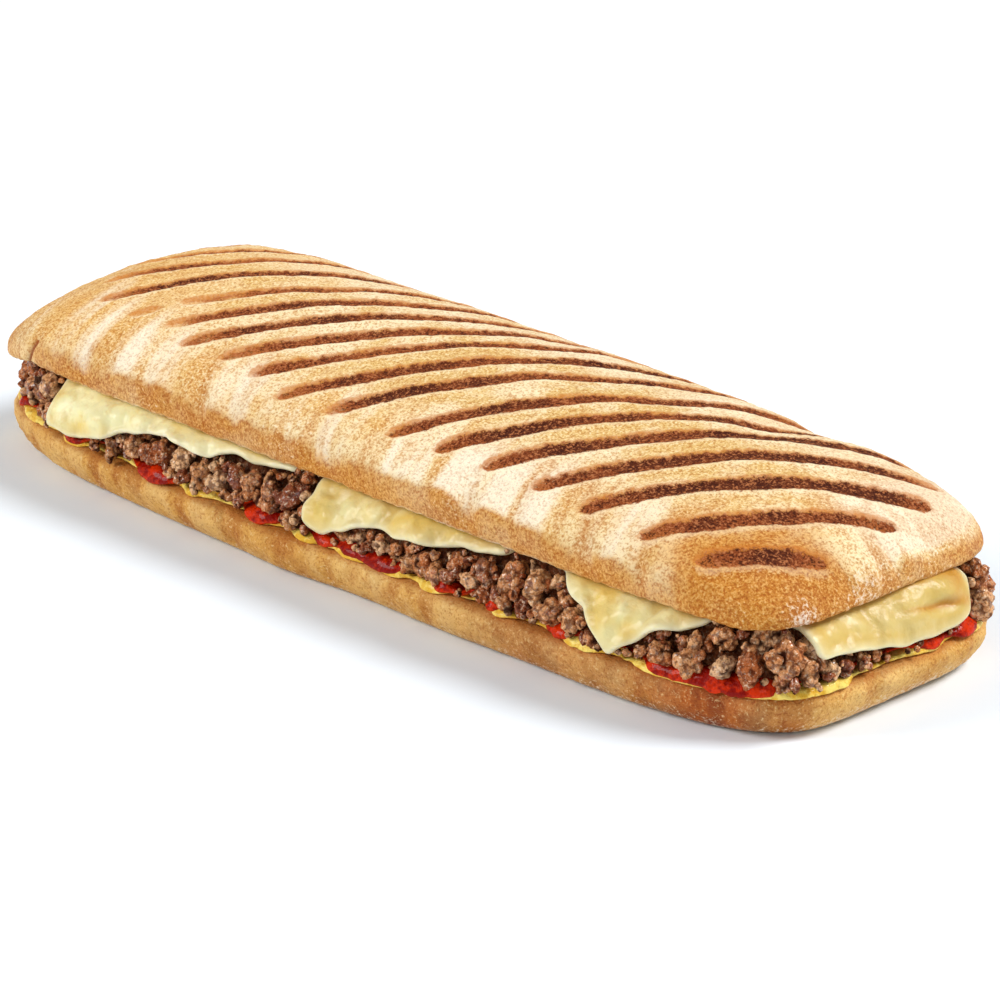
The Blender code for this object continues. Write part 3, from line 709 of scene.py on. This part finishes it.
def bottomFinish():
    finish = Finish("lower_crust", Specular_IOR_Level=0.16)
    level, streak, corner, dust = map(finish.attribute, ("level", "streak", "corner", "dust"))
    broad = finish.noise(34 * mm)
    patches = finish.noise(9 * mm, 3.0, 0.6)
    speckle = finish.noise(1.1 * mm, 3.0, 0.68)
    fine = finish.noise(0.5 * mm, 2.0, 0.65)
    grain = speckle * 0.55 + fine * 0.45
    finish.colour = finish.mix(broad.step(0.4, 0.6), (222, 165, 82), (236, 190, 112))
    finish.cover(patches.step(0.45, 0.66, 0.45), (194, 124, 50))
    finish.cover(streak.step(-0.05, -0.45) * broad.step(0.62, 0.40, end=0.8, start=0.25), (184, 112, 42))
    finish.cover(streak.step(0.12, 0.45, 0.45), (238, 198, 128))
    finish.cover(corner * 0.95, finish.mix(patches.step(0.35, 0.65), (186, 96, 36), (140, 60, 20)))
    finish.cover(grain.step(0.50, 0.38, 0.6), (196, 136, 78), "MULTIPLY")
    finish.cover(grain.step(0.54, 0.64, 0.55), (246, 214, 152))
    # darker towards the top edge: partly the crust's darker edge, partly painted shade under the filling
    finish.cover(level.step(0.86, 1.0, 0.6), (176, 98, 34))
    floury = (dust - level * 2.2 + (speckle - 0.5) * 3.6 + (fine - 0.5) * 2.0).step(0.0, 0.9)
    finish.cover(floury * 0.8, (246, 228, 200))
    finish.cover((fine - level * 1.6).step(0.55, 0.62) * 0.7, (112, 62, 26))
    return finish.complete(0.48 + 0.25 * speckle, grain + finish.noise(3.0 * mm) * 0.4, 0.75 * mm)


bottomPiece = buildBottomBread()
bottomPiece.data.materials.append(bottomFinish())
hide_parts("bottom_bread")
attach(bottomPiece, "root")
print("lower loaf made:", len(bottomPiece.data.polygons), "faces")


# Cheese slices

beefPlan = {"near": 138.6 * mm, "far": 136.4 * mm, "halfWidth": 45.8 * mm,
            "nearPower": 5.6, "farPower": 5.0}
beefLevels = {"bottom": 14.3 * mm, "shoulder": 23.2 * mm, "slope": 5.0 * mm}
cheese = {
    "underside": 24.5 * mm,
    "thickness": 1.7 * mm,
    "bendRadius": 4.0 * mm,
    "bendInset": 7.4 * mm,
    "cell": 1.7 * mm,
    "wave": 2.0 * mm,
    "ripple": 0.85 * mm,
    "bead": 0.5 * mm,
    "clear": 1.2 * mm,  # over this distance the lower edge stops behind the lower loaf's outline
}
# in mm: the radii of the corners; along the rim, the place and how far the slice hangs past its bend; tone
# is painted shade, darker and more golden over the whole slice
slices = {
    "cheese_slice_1": {
        "tone": 0.0, "corners": (3.6, 1.5),
        "front": ((-105.5, 16.0), (-91.7, 14.3), (-80.9, 12.0), (-75.7, 8.6), (-68.5, 6.2), (-63.6, 6.1),
                  (-56.8, 6.9), (-45.4, 6.2), (-39.6, 4.2), (-28.9, 3.9), (-17, 3.2)),
        "back": ((-105.5, 6.0), (-80, 8.0), (-64, 9.5), (-40, 6.5), (-17, 7.5))},
    "cheese_slice_2": {
        "tone": 0.25, "corners": (1.6, 1.5),
        "front": ((-9.2, 14.6), (-2.2, 13.4), (5.3, 12.6), (9.5, 9.3), (13.3, 7.8), (17.7, 7.7),
                  (22.2, 8.4), (28.8, 8.1), (34.5, 6.4), (41.9, 4.6), (55, 3.4)),
        "back": ((-9.2, 5.0), (14, 7.5), (26, 8.5), (55, 10.5))},
    "cheese_slice_3": {
        "tone": 0.2, "corners": (1.2, 1.2),
        "front": ((56, 1.6), (70.7, 1.6), (82.5, 8.3), (92.9, 16.6), (100, 10.6), (105.6, 7.2), (115, 3.0)),
        "back": ((56, 5.0), (74, 8.5), (88, 13.0), (100, 9.0), (115, 5.0))},
    "cheese_slice_4": {
        "tone": 0.65, "corners": (1.2, 8.5), "inner": 116.2,
        "front": ((-27.8, 8.6), (-25.5, 9.0), (-17.5, 10.4), (-8.2, 12.0), (1.1, 13.6), (10.6, 15.0),
                  (15.7, 15.2), (24.6, 14.2)),
        "fold": {"middle": 12.0, "run": 12.0, "reach": 7.6, "width": 1.5, "depth": 2.6},
        # along, run, reach, width, how golden: painted shade in the fold's pockets
        "pockets": ((9, 11, 1.6, 1.6, 0.9), (19.5, 4.5, 4.6, 2.8, 0.9))},
}


def drape(reach):
    # a slice bent over the beef's shoulder: steps outward and up, and the outward normal
    slope = math.atan2(beefLevels["shoulder"] - beefLevels["bottom"], beefLevels["slope"])
    radius = cheese["bendRadius"]
    angle = np.clip(np.maximum(reach, 0.0) / radius, 0.0, slope)
    straight = np.maximum(reach - radius * slope, 0.0)
    outward = radius * np.sin(angle) + straight * math.cos(slope) + np.minimum(reach, 0.0)
    upward = -radius * (1 - np.cos(angle)) - straight * math.sin(slope)
    return outward, upward, np.sin(angle), np.cos(angle)


def buildSlice(name, piece):
    atEnd = "inner" in piece
    first, last = piece["front"][0][0] * mm, piece["front"][-1][0] * mm
    if atEnd:
        depth = beefPlan["near"] - piece["inner"] * mm + 10 * mm
    else:
        depth = 2 * beefPlan["halfWidth"] + 12 * mm
    made = newGrid("melted_" + name, round((last - first) / cheese["cell"]), round(depth / cheese["cell"]))
    mesh = made.data
    u, v, _ = getPoints(mesh).T

    # the sheet's outline: how far it hangs past its bend, with rounded corners and a rippled edge
    along = first + (last - first) * (u + 1) / 2
    hang = np.interp(along, *(np.array(piece["front"]).T * mm))
    if not atEnd:
        hang = np.where(v < 0, hang, np.interp(along, *(np.array(piece["back"]).T * mm)))
    fromEnd = np.minimum(along - first, last - along)
    corner = np.where(along - first < last - along, piece["corners"][0], piece["corners"][1]) * mm
    rounded = corner * (1 - np.sqrt(np.clip(1 - (1 - np.minimum(fromEnd / corner, 1.0)) ** 2, 0.0, 1.0)))
    seed = first * 40
    ripple = noiseAt((along, np.sign(v) * 0.01, 0 * v), 6 * mm, seed)
    hang = hang - rounded + cheese["ripple"] * ripple * smooth(fromEnd, 0.0, 2 * mm)
    if atEnd:
        bend = beefPlan["near"] - cheese["bendInset"]
        inner = piece["inner"] * mm
        reach = inner + (v + 1) / 2 * (bend + hang - inner) - bend
    else:
        bend = planWidth(beefPlan, along) - cheese["bendInset"]
        reach = np.abs(v) * (bend + hang) - bend
    outward, upward, normalOut, normalUp = drape(reach)

    # its relief: soft waves, a bead at the edge and, at the near end, a fold; and where the golden painted
    # shade lies
    sheet = np.column_stack((along, reach, np.sign(v) * 0.02))
    soft = 1.5 * noiseAt(sheet, 9 * mm, seed) + 1.2 * noiseAt(sheet, 5 * mm, seed + 4)
    soft *= 0.45 if atEnd else 1.0
    lift = cheese["wave"] * smooth(reach, 1.0 * mm, 6 * mm) * (0.5 + soft)
    lift += 0.12 * mm * smooth(reach, -3 * mm, 2 * mm)
    # painted shade, golden: over the whole slice by its tone, in the waves' hollows and next to the bread
    # under its rim; also more golden towards the hanging edge
    golden = piece["tone"] + 0.35 * smooth(reach / hang, 0.45, 0.95) + 0.65 * smooth(-soft, 0.0, 0.9)
    golden += 0.5 * hump(reach - 1.2 * mm, 1.6 * mm)
    lift += cheese["bead"] * hump(hang - reach, 2.2 * mm) * smooth(hang, 5 * mm, 9 * mm) * (0.3 + soft)
    if "fold" in piece:
        fold = piece["fold"]
        run = hump(along / mm - fold["middle"], fold["run"])
        shadedValley = hump(reach / mm - fold["reach"] - 0.12 * (along / mm - fold["middle"]), fold["width"])
        lift += mm * fold["depth"] * run * (1.0 - shadedValley) * smooth(reach, 0.0, 2.0 * mm)
        # painted shade in the fold's valley and in its pockets
        golden += 1.3 * run * shadedValley
        for middle, width, low, breadth, much in piece["pockets"]:
            golden += much * hump(along / mm - middle, width, reach / mm - low, breadth)
    lift = np.maximum(lift, 0.0)
    across = bend + outward + lift * normalOut
    limit = (cadHigh.x if atEnd else cadHigh.y) - cheese["thickness"] * normalOut - 0.3 * mm
    over = np.maximum(across - limit + cheese["clear"], 0.0)
    across -= over * (over / (over + cheese["clear"]))
    z = cheese["underside"] + upward + lift * normalUp
    along += 0.5 * mm * noiseAt((reach, v, 0 * v), 8 * mm, seed + 2) * (fromEnd < 0.3 * mm)
    side = np.sign(np.where(v == 0, 1.0, v))
    setPoints(mesh, np.column_stack((across, along, z) if atEnd else (along, across * side, z)))
    rim = hump(np.minimum(fromEnd, np.maximum(hang - reach, 0.0)), 1.4 * mm)
    setAttributes(mesh, golden=golden, rim=rim)
    thicken(made)
    return made


def thicken(piece):
    makeActive(piece)
    if sum(face.normal.z for face in piece.data.polygons) < 0:
        setMode("EDIT")
        bpy.ops.mesh.select_all(action="SELECT")
        bpy.ops.mesh.flip_normals()
        setMode("OBJECT")
    thick = piece.modifiers.new("thickness", "SOLIDIFY")
    thick.thickness = cheese["thickness"]
    thick.offset = 1.0
    rounding = piece.modifiers.new("rounding", "SUBSURF")
    rounding.levels = rounding.render_levels = 1
    for modifier in list(piece.modifiers):
        bpy.ops.object.modifier_apply(modifier=modifier.name)
    bpy.ops.object.shade_smooth()


def cheeseFinish():
    finish = Finish("melted_cheese", Specular_IOR_Level=0.42, Subsurface_Weight=0.3, Subsurface_Scale=0.006,
                    Subsurface_Radius=(1.0, 0.75, 0.35))
    small = finish.noise(3.5 * mm, 3.0, 0.55)
    golden = finish.attribute("golden")
    finish.colour = finish.mix(finish.noise(16 * mm).step(0.38, 0.62), (240, 204, 112), (253, 240, 182))
    finish.cover(small.step(0.50, 0.68, 0.4), (224, 184, 96))
    # painted shade: golden and deep orange where the slices are shaded
    finish.cover(golden.step(0.0, 1.0, 0.85), (206, 172, 88))
    finish.cover(golden.step(1.0, 1.8, 0.8), (198, 132, 30))
    finish.cover(finish.attribute("rim") * 0.7, (252, 242, 202))
    waves = finish.noise(6 * mm, 1.0) + 0.5 * finish.noise(9 * mm, 1.0, stretch=(1.0, 0.4, 2.0))
    height = waves + small * 0.22 + finish.noise(0.9 * mm) * 0.03
    return finish.complete(0.27 + 0.22 * small, height, 2.2 * mm, 0.9)


cheeseMaterial = cheeseFinish()
cheesePieces = []
for sliceName, sliceShape in slices.items():
    made = buildSlice(sliceName, sliceShape)
    made.data.materials.append(cheeseMaterial)
    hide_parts(sliceName)
    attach(made, "root")
    cheesePieces.append(made)
print("cheese made:", sum(len(made.data.polygons) for made in cheesePieces), "faces")


# Sauces

# in mm: how far the rim reaches past the beef's outline, thickness, bead and wave of the rim, how far it
# settles over the edge and how far inside the lower loaf's outline it stops; then the lobes that have
# run out: place, reach, half width
sauces = {
    "yellow_sauce": {
        "reach": -0.9, "thick": (0.7, 1.3), "bead": 1.5, "wave": 0.6, "settle": 0.2, "inside": 0.1,
        "lobes": ((-118, 1.8, 7), (-98, 2.4, 4), (-50, 2.8, 5), (-24, 2.2, 4), (-9, 2.8, 6), (6, 3.4, 6),
                  (20, 3.0, 6), (34, 3.2, 5), (57, 2.6, 4), (82, 3.4, 6), (108, 3.0, 10), (130, 2.6, 8)),
        "endLobes": ((-34, 3.0, 7), (-22, 3.2, 6), (8, 2.4, 8), (26, 2.6, 6)),
        "deep": (228, 176, 56), "bright": (250, 220, 112), "thin": (224, 150, 50), "rough": 0.16},
    "tomato_sauce": {
        "reach": -2.2, "thick": (0.9, 1.6), "bead": 2.4, "wave": 0.7, "settle": 1.1, "inside": -0.2,
        "lobes": ((-128, 3.0, 6), (-98, 3.2, 6), (-64, 5.6, 8), (-26, 5.2, 7), (-4, 3.6, 5), (6, 4.0, 6),
                  (18, 4.8, 7), (38, 3.8, 7), (54, 3.6, 4), (76, 4.0, 6), (108, 4.8, 7), (121, 5.2, 7),
                  (131, 4.2, 6)),
        "endLobes": ((-40, 2.0, 4), (9, 4.0, 6), (22, 4.8, 6)),
        "deep": (132, 10, 1), "bright": (208, 48, 5), "thin": (226, 104, 26), "rough": 0.12},
}
# how many rings round the bead, then steps inwards in mm
sauceRings = {"segments": 900, "edge": 9, "top": (1.5, 3.0, 5.0, 7.5, 10.0, 13.0)}


def roomOutside(base):
    # how far each point lies inside the lower loaf's outline
    rim, _ = evenOutline(bottomPlan, 1200)
    return np.array([np.hypot(*(rim - point).T).min() for point in base]) - bottomBread["slack"]


def edgeDrop(inset):
    # how far the lower loaf's top has rounded down, this far inside its outline
    heights, insets = np.array(bottomBread["profile"][5:]).T * mm
    return heights[-1] - np.interp(inset, insets, heights) + np.maximum(-inset, 0.0)


def lobeShape(base, normal, sauce):
    # how far the sauce has run out in mm, by the place along the sides or across the ends
    x, y = base.T / mm
    alongSide = sum(reach * hump(x - place, width) for place, reach, width in sauce["lobes"])
    acrossEnd = sum(reach * hump(y - place, width) for place, reach, width in sauce["endLobes"])
    atEnd = smooth(np.abs(normal[:, 0]), 0.5, 0.85)
    return (1.0 - atEnd) * alongSide * np.where(y < 0, 1.0, 0.6) + atEnd * acrossEnd


def buildSauce(node, sauce):
    low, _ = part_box(node)
    rings, inward = sauceRings["edge"], np.array(sauceRings["top"]) * mm
    levels = rings + len(inward)
    piece = ringedPiece(node + "_layer", sauceRings["segments"], levels - 1, 0.0, 1.0)
    mesh = piece.data
    points = getPoints(mesh)
    base, normal, index = roundOutline(points, beefPlan, sauceRings["segments"])
    room = roomOutside(evenOutline(beefPlan, sauceRings["segments"])[0])[index]
    level = np.rint(points[:, 2] * levels).astype(int)
    lobe = lobeShape(base, normal, sauce)
    flat = np.column_stack((base, 0 * lobe))
    wave = noiseAt(flat, 8 * mm, 1.5) + 0.8 * noiseAt(flat, 3.5 * mm, 6.0)
    wave = sauce["wave"] * (wave + 0.4 * noiseAt(flat, 1.6 * mm, 2.0))
    plump = np.clip(lobe / 3.5 + 0.25 * noiseAt(flat, 5 * mm, 9.0), 0.0, 1.1)  # where it has run out
    thick = (sauce["thick"][0] + sauce["thick"][1] * plump) * mm
    bead = sauce["bead"] * (0.5 + 0.5 * plump) * mm
    turn = (np.minimum(level / rings, 1.0) - 0.5) * math.pi
    edge = (sauce["reach"] + lobe + wave) * mm
    over = np.maximum(edge - room + (sauce["inside"] + 1.0 + 0.5 * np.abs(wave)) * mm, 0.0)
    edge -= over * over / (over + 1.0 * mm)  # it stops softly at the lower loaf's outline
    reach = edge - bead + bead * np.cos(turn)
    steps = np.concatenate((np.zeros(rings + 1), inward))[level]
    settle = sauce["settle"] * mm * fade(edge - reach + steps, 1.0 * mm, 6.0 * mm)
    settle *= smooth(edge, -1.5 * mm, 1.0 * mm)
    z = low.z - settle - edgeDrop(room - reach + steps) + thick * 0.5 * (1.0 + np.sin(turn))
    shrink = np.column_stack((1.0 - steps / beefPlan["near"], 1.0 - steps / beefPlan["halfWidth"]))
    spot = np.column_stack(((base + normal * reach[:, None]) * shrink, 0 * z))
    uneven = noiseAt(spot, 3.5 * mm, 5.0) + 0.5 * noiseAt(spot, 1.5 * mm, 9.0)
    spot[:, 2] = z + (0.5 * mm * uneven - 0.10 * steps) * smooth(level / rings, 0.4, 1.0)
    setPoints(mesh, spot)
    setAttributes(mesh, thin=fade(level / rings, 0.05, 0.55))
    smoothFaces(piece, 80)
    return piece


def sauceFinish(name, sauce):
    finish = Finish(name, Specular_IOR_Level=0.05, Coat_Weight=0.14, Coat_Roughness=0.04)
    pulp = finish.noise(1.6 * mm, 3.0, 0.6)
    tone = (pulp * 0.5 + finish.noise(7 * mm) * 0.5).step(0.42, 0.58)
    finish.colour = finish.mix(tone, sauce["deep"], sauce["bright"])
    finish.cover(finish.attribute("thin") * 0.85, sauce["thin"])
    height = pulp + 0.8 * finish.noise(3.6 * mm, 1.0)
    return finish.complete(sauce["rough"] + 0.20 * pulp, height, 0.8 * mm)


for node, sauce in sauces.items():
    piece = buildSauce(node, sauce)
    piece.data.materials.append(sauceFinish(node + "_gloss", sauce))
    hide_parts(node)
    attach(piece, "root")
print("sauces made")


# Minced beef: lumps of small granules over a plain core

mince = {
    "seed": 23,
    # the kinds: how many, levels of the sphere, granules in each and their sizes, and every which is long
    # the places, in mm: how many round the heap, lowest, highest and rows, how far out of the slope, sizes,
    # the least one, and how close they lie
    "lumps": {"kinds": 14, "level": 4, "granules": (20, 34), "sizes": ((0.26, 0.50), (0.20, 0.38)),
              "longEach": 5, "round": 260, "heights": (14.6, 24.0, 7), "out": (-0.8, 2.8),
              "radius": (2.4, 5.8), "least": 1.8, "spread": 0.60},
    "crumbs": {"kinds": 8, "level": 3, "granules": (4, 8), "sizes": ((0.32, 0.52),),
               "longEach": 2, "round": 400, "heights": (13.8, 25.4, 7), "out": (-0.2, 2.8),
               "radius": (1.2, 2.5), "least": 1.1, "spread": 0.85},
    "gap": 0.12 * mm,  # from bread and cheese
    "overhang": {"x": -112 * mm, "near": 2.4 * mm, "far": -0.6 * mm},  # past the lower loaf's outline
    "farClear": 2.5 * mm,  # inside the CAD box at the far end
    "stretch": ((0.95, 1.12), (0.85, 1.08), (0.8, 1.05)),
    "core": {"segments": 520, "rings": 12, "inset": 2.2 * mm, "rough": 1.0 * mm,
             "below": 0.2 * mm, "above": 0.9 * mm},
}


def searchTree(piece):
    return BVHTree.FromPolygons([vert.co[:] for vert in piece.data.vertices],
                                [face.vertices[:] for face in piece.data.polygons])


def granuleBall(level, count, sizes, long, rng):
    # a nugget whose points are pushed out to the farthest of the granules packed round its middle
    deselectAll()
    bpy.ops.mesh.primitive_ico_sphere_add(subdivisions=level, radius=1.0)
    ball = newPiece("nugget")
    ways = getPoints(ball.data)
    ways /= np.linalg.norm(ways, axis=1)[:, None]
    if long:
        squash = np.array((rng.uniform(0.9, 1.0), rng.uniform(0.45, 0.65), rng.uniform(0.45, 0.6)))
    else:
        squash = np.array((rng.uniform(0.85, 1.0), rng.uniform(0.65, 0.95), rng.uniform(0.55, 0.85)))
    radius = np.full(len(ways), 0.30)
    for _ in range(count):
        way = Vector((rng.gauss(0, 1), rng.gauss(0, 1), rng.gauss(0, 1))).normalized()
        size = rng.uniform(*sizes)
        middle = np.array(way) * squash * rng.uniform(0.5, 1.0) * (1.0 - size)
        along = ways @ middle
        inside = size ** 2 - middle @ middle + along ** 2
        radius = np.maximum(radius, np.where(inside > 0, along + np.sqrt(np.maximum(inside, 0.0)), 0.0))
    # how far out each point lies: low values lie deep between the granules, where shade is painted
    pit = (radius - radius.min()) / (radius.max() - radius.min())
    surface = ways * radius[:, None]
    rough = 0.16 * noiseAt(surface, 0.36, rng.uniform(0, 50))
    radius += rough + 0.11 * noiseAt(surface, 0.18, rng.uniform(0, 50))
    setPoints(ball.data, ways * np.minimum(radius, 1.0)[:, None])
    points = getPoints(ball.data)
    triangles = np.array([face.vertices[:] for face in ball.data.polygons])
    bpy.data.objects.remove(ball)
    return points, triangles, pit


def makeKinds(kind, rng):
    sizes = kind["sizes"]
    return [granuleBall(kind["level"], rng.randint(*kind["granules"]), sizes[number % len(sizes)],
                        number % kind["longEach"] == 0, rng) for number in range(kind["kinds"])]


def findPlaces(layer, trees, rng):
    # balls along the slope that touch no bread or cheese, largest first, without those that crowd another
    levels = (beefLevels["bottom"], beefLevels["shoulder"], beefLevels["shoulder"] + 2.2 * mm)
    outline, out = evenOutline(beefPlan, layer["round"])
    lobes = lobeShape(outline, out, sauces["tomato_sauce"])
    overhang = mince["overhang"]
    past = np.where(outline[:, 0] > overhang["x"], overhang["near"], overhang["far"])
    farthest = roomOutside(outline) + past
    low, high, steps = layer["heights"]
    found = []
    for point, normal, lobe, most in zip(outline, out, lobes, farthest):
        for step in range(steps):
            height = (low + (high - low) * step / (steps - 1) + rng.uniform(-0.6, 0.6)) * mm
            inset = np.interp(height, levels, (0.0, beefLevels["slope"], beefLevels["slope"] + 1.0 * mm))
            clear = max(0.0, lobe - 1.6) * 0.8 * mm * (1.0 - min(max((height / mm - 14.5) / 2.5, 0.0), 1.0))
            wanted = rng.uniform(*layer["radius"]) * mm
            reach = min(rng.uniform(*layer["out"]) * mm - inset - clear, most - wanted)
            flat = point + normal * reach
            shift = rng.uniform(-1.0, 1.0) * mm
            centre = Vector((flat[0] - normal[1] * shift, flat[1] + normal[0] * shift, height))
            room = min(tree.find_nearest(centre)[3] for tree in trees) - mince["gap"]
            edges = min(cadHigh.x - centre.x, centre.x - cadLow.x - mince["farClear"],
                        cadHigh.y - centre.y, centre.y - cadLow.y)
            radius = min(wanted, room, edges / mince["stretch"][0][1])
            if radius > layer["least"] * mm:
                found.append((radius, centre, normal))
    found.sort(key=lambda place: -place[0])
    cells, kept = {}, []
    for radius, centre, normal in found:
        column, row = int(centre.x // (10 * mm)), int(centre.y // (10 * mm))
        beside = [(column + i, row + j) for i in (-1, 0, 1) for j in (-1, 0, 1)]
        near = [other for cell in beside for other in cells.get(cell, ())]
        if all((centre - other).length > layer["spread"] * (radius + reach) for reach, other in near):
            cells.setdefault((column, row), []).append((radius, centre))
            kept.append((radius, centre, normal))
    return kept


def joinCopies(name, places, kinds, rng):
    # every copy gets its own turn and stretch, and all become one mesh
    points, faces, pits, shades = [], [], [], []
    total = 0
    for radius, centre, normal in places:
        shape, triangles, pit = kinds[rng.randrange(len(kinds))]
        turn = np.array(Euler([rng.uniform(0, math.tau) for _ in range(3)]).to_matrix())
        stretch = np.array([rng.uniform(*span) for span in mince["stretch"]])
        around = (shape * stretch) @ turn.T
        points.append(around * radius + np.array(centre))
        faces.append(triangles + total)
        total += len(shape)
        # painted shade: darker still on the sides that face in and down
        outwards = around @ np.array((normal[0] * 0.85, normal[1] * 0.85, 0.5))
        pits.append(pit * (0.25 + 0.75 * smooth(outwards, -0.45, 0.35)))
        shades.append(np.full(len(shape), rng.random()))
    mesh = bpy.data.meshes.new(name)
    mesh.from_pydata(np.concatenate(points).tolist(), [], np.concatenate(faces).tolist())
    mesh.shade_smooth()
    setAttributes(mesh, pit=np.concatenate(pits), shade=np.concatenate(shades))
    piece = bpy.data.objects.new(name, mesh)
    bpy.context.scene.collection.objects.link(piece)
    return piece


def buildMinceCore():
    core = mince["core"]
    low, high = beefLevels["bottom"] - core["below"], beefLevels["shoulder"] + core["above"]
    piece = ringedPiece("mince_core", core["segments"], core["rings"], low, high)
    points = getPoints(piece.data)
    base, normal, _ = roundOutline(points, beefPlan, core["segments"])
    inset = core["inset"] + beefLevels["slope"] * (points[:, 2] - low) / (high - low)
    rough = core["rough"] * noiseAt((base, points[:, 2]), 3.2 * mm, 2.0)
    points[:, :2] = base + normal * (rough - inset)[:, None]
    setPoints(piece.data, points)
    # the whole core is painted dark, as shade behind the lumps
    setAttributes(piece.data, pit=np.full(len(points), 0.22), shade=np.full(len(points), 0.3))
    smoothFaces(piece, 60)
    return piece


def minceFinish():
    finish = Finish("browned_mince", Specular_IOR_Level=0.06, Coat_Roughness=0.08)
    pit, shade = finish.attribute("pit"), finish.attribute("shade")
    patches = finish.noise(4.5 * mm, 3.0, 0.6)
    speckle = finish.noise(1.0 * mm, 3.0, 0.70)
    fine = finish.noise(0.45 * mm, 2.0, 0.65)
    granules = finish.cells(1.3 * mm)
    grain = speckle * 0.55 + fine * 0.45
    tone = (shade + (patches - 0.5) * 1.4).step(0.10, 0.80)
    finish.colour = finish.mix(tone, (190, 106, 56), (230, 164, 106))
    finish.cover(patches.step(0.55, 0.66, 0.65), (176, 66, 26))
    finish.cover(shade.step(0.68, 0.90, 0.7), (240, 194, 146))
    finish.cover(shade.step(0.30, 0.08, 0.6), (118, 54, 32))
    # painted highlight on the grain's peaks
    finish.cover(grain.step(0.52, 0.62, 0.7), (254, 226, 192))
    # painted shade in the grain's hollows
    finish.cover(grain.step(0.48, 0.40, 0.6), (104, 40, 18))
    # painted shade in the crevices between the granule cells
    finish.cover(granules.step(0.45, 0.75, 0.7), (80, 25, 8))
    # painted shade: near black deep between the granules, on inward sides and on the core
    finish.cover(pit.step(0.50, 0.08, 0.94), (50, 13, 4))
    wet = (patches * 0.6 + fine * 0.4).step(0.45, 0.55) * pit.step(0.24, 0.5)
    finish.feed("Coat Weight", wet * 0.9)
    return finish.complete(0.30 + 0.30 * speckle, grain * 0.7 - granules * 0.6, 1.0 * mm)


mincePieces = [buildMinceCore()]
rng = random.Random(mince["seed"])
trees = [searchTree(piece) for piece in [topPiece, bottomPiece] + cheesePieces]
lumps, crumbs = [makeKinds(mince[size], rng) for size in ("lumps", "crumbs")]
lumpPlaces, crumbPlaces = [findPlaces(mince[size], trees, rng) for size in ("lumps", "crumbs")]
frontLumps = [place for place in lumpPlaces if place[1].y < 0]
backLumps = [place for place in lumpPlaces if place[1].y >= 0]
mincePieces.append(joinCopies("mince_lumps_front", frontLumps, lumps, rng))
mincePieces.append(joinCopies("mince_lumps_back", backLumps, lumps, rng))
mincePieces.append(joinCopies("mince_crumbs", crumbPlaces, crumbs, rng))
minceMaterial = minceFinish()
for piece in mincePieces:
    piece.data.materials.append(minceMaterial)
    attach(piece, "root")
    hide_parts("minced_beef")
print("mince made:", len(frontLumps), "+", len(backLumps), "lumps,", len(crumbPlaces), "crumbs")


# Floor, light and camera

studio = {
    "floorSize": 12.0,
    "floorColour": (0.87, 0.93, 0.99, 1.0),
    "world": 0.34,
    "lamps": {
        "key": {"place": (2.0, 2.0, 3.15), "size": 1.8, "power": 160.0},
        "fill": {"place": (-1.8, -2.5, 1.8), "size": 1.6, "power": 72.0},
        "front": {"place": (1.9, -3.2, 2.1), "size": 1.4, "power": 12.0},
    },
}
camera = {
    "azimuth": math.radians(45.436),
    "elevation": math.radians(21.625),
    "distance": 1.274772,
    "lens": 188.93,
    "target": Vector((-0.004, 0.0, 0.025)),
    "right": 9.688 * mm,
    "down": 14.128 * mm,
}

deselectAll()
bpy.ops.mesh.primitive_plane_add(size=studio["floorSize"], location=(0.0, 0.0, 0.0))
floor = newPiece("floor")
floorFinish = Finish("white_floor", Base_Color=studio["floorColour"], Roughness=0.9, Specular_IOR_Level=0.1)
floor.data.materials.append(floorFinish.material)

world = bpy.data.worlds.new("studio")
world.use_nodes = True
world.node_tree.nodes["Background"].inputs["Color"].default_value = (1.0, 1.0, 1.0, 1.0)
world.node_tree.nodes["Background"].inputs["Strength"].default_value = studio["world"]
bpy.context.scene.world = world

for lampName, lamp in studio["lamps"].items():
    data = bpy.data.lights.new(lampName, "AREA")
    data.shape = "DISK"
    data.size = lamp["size"]
    data.energy = lamp["power"]
    light = bpy.data.objects.new(lampName, data)
    light.location = lamp["place"]
    light.rotation_euler = Vector(lamp["place"]).to_track_quat("Z", "Y").to_euler()
    bpy.context.scene.collection.objects.link(light)

azimuth, elevation = camera["azimuth"], camera["elevation"]
level = math.cos(elevation)
back = Vector((math.sin(azimuth) * level, -math.cos(azimuth) * level, math.sin(elevation)))
right = Vector((math.cos(azimuth), math.sin(azimuth), 0.0))
up = back.cross(right)
lens = bpy.data.cameras.new("camera")
lens.lens = camera["lens"]
lens.clip_start, lens.clip_end = 0.05, 20.0
eye = bpy.data.objects.new("camera", lens)
eye.location = camera["target"] + back * camera["distance"] + right * camera["right"] - up * camera["down"]
eye.rotation_euler = (-back).to_track_quat("-Z", "Y").to_euler()
bpy.context.scene.collection.objects.link(eye)
bpy.context.scene.camera = eye
bpy.context.scene.view_settings.view_transform = "Standard"
print("floor, light and camera set")
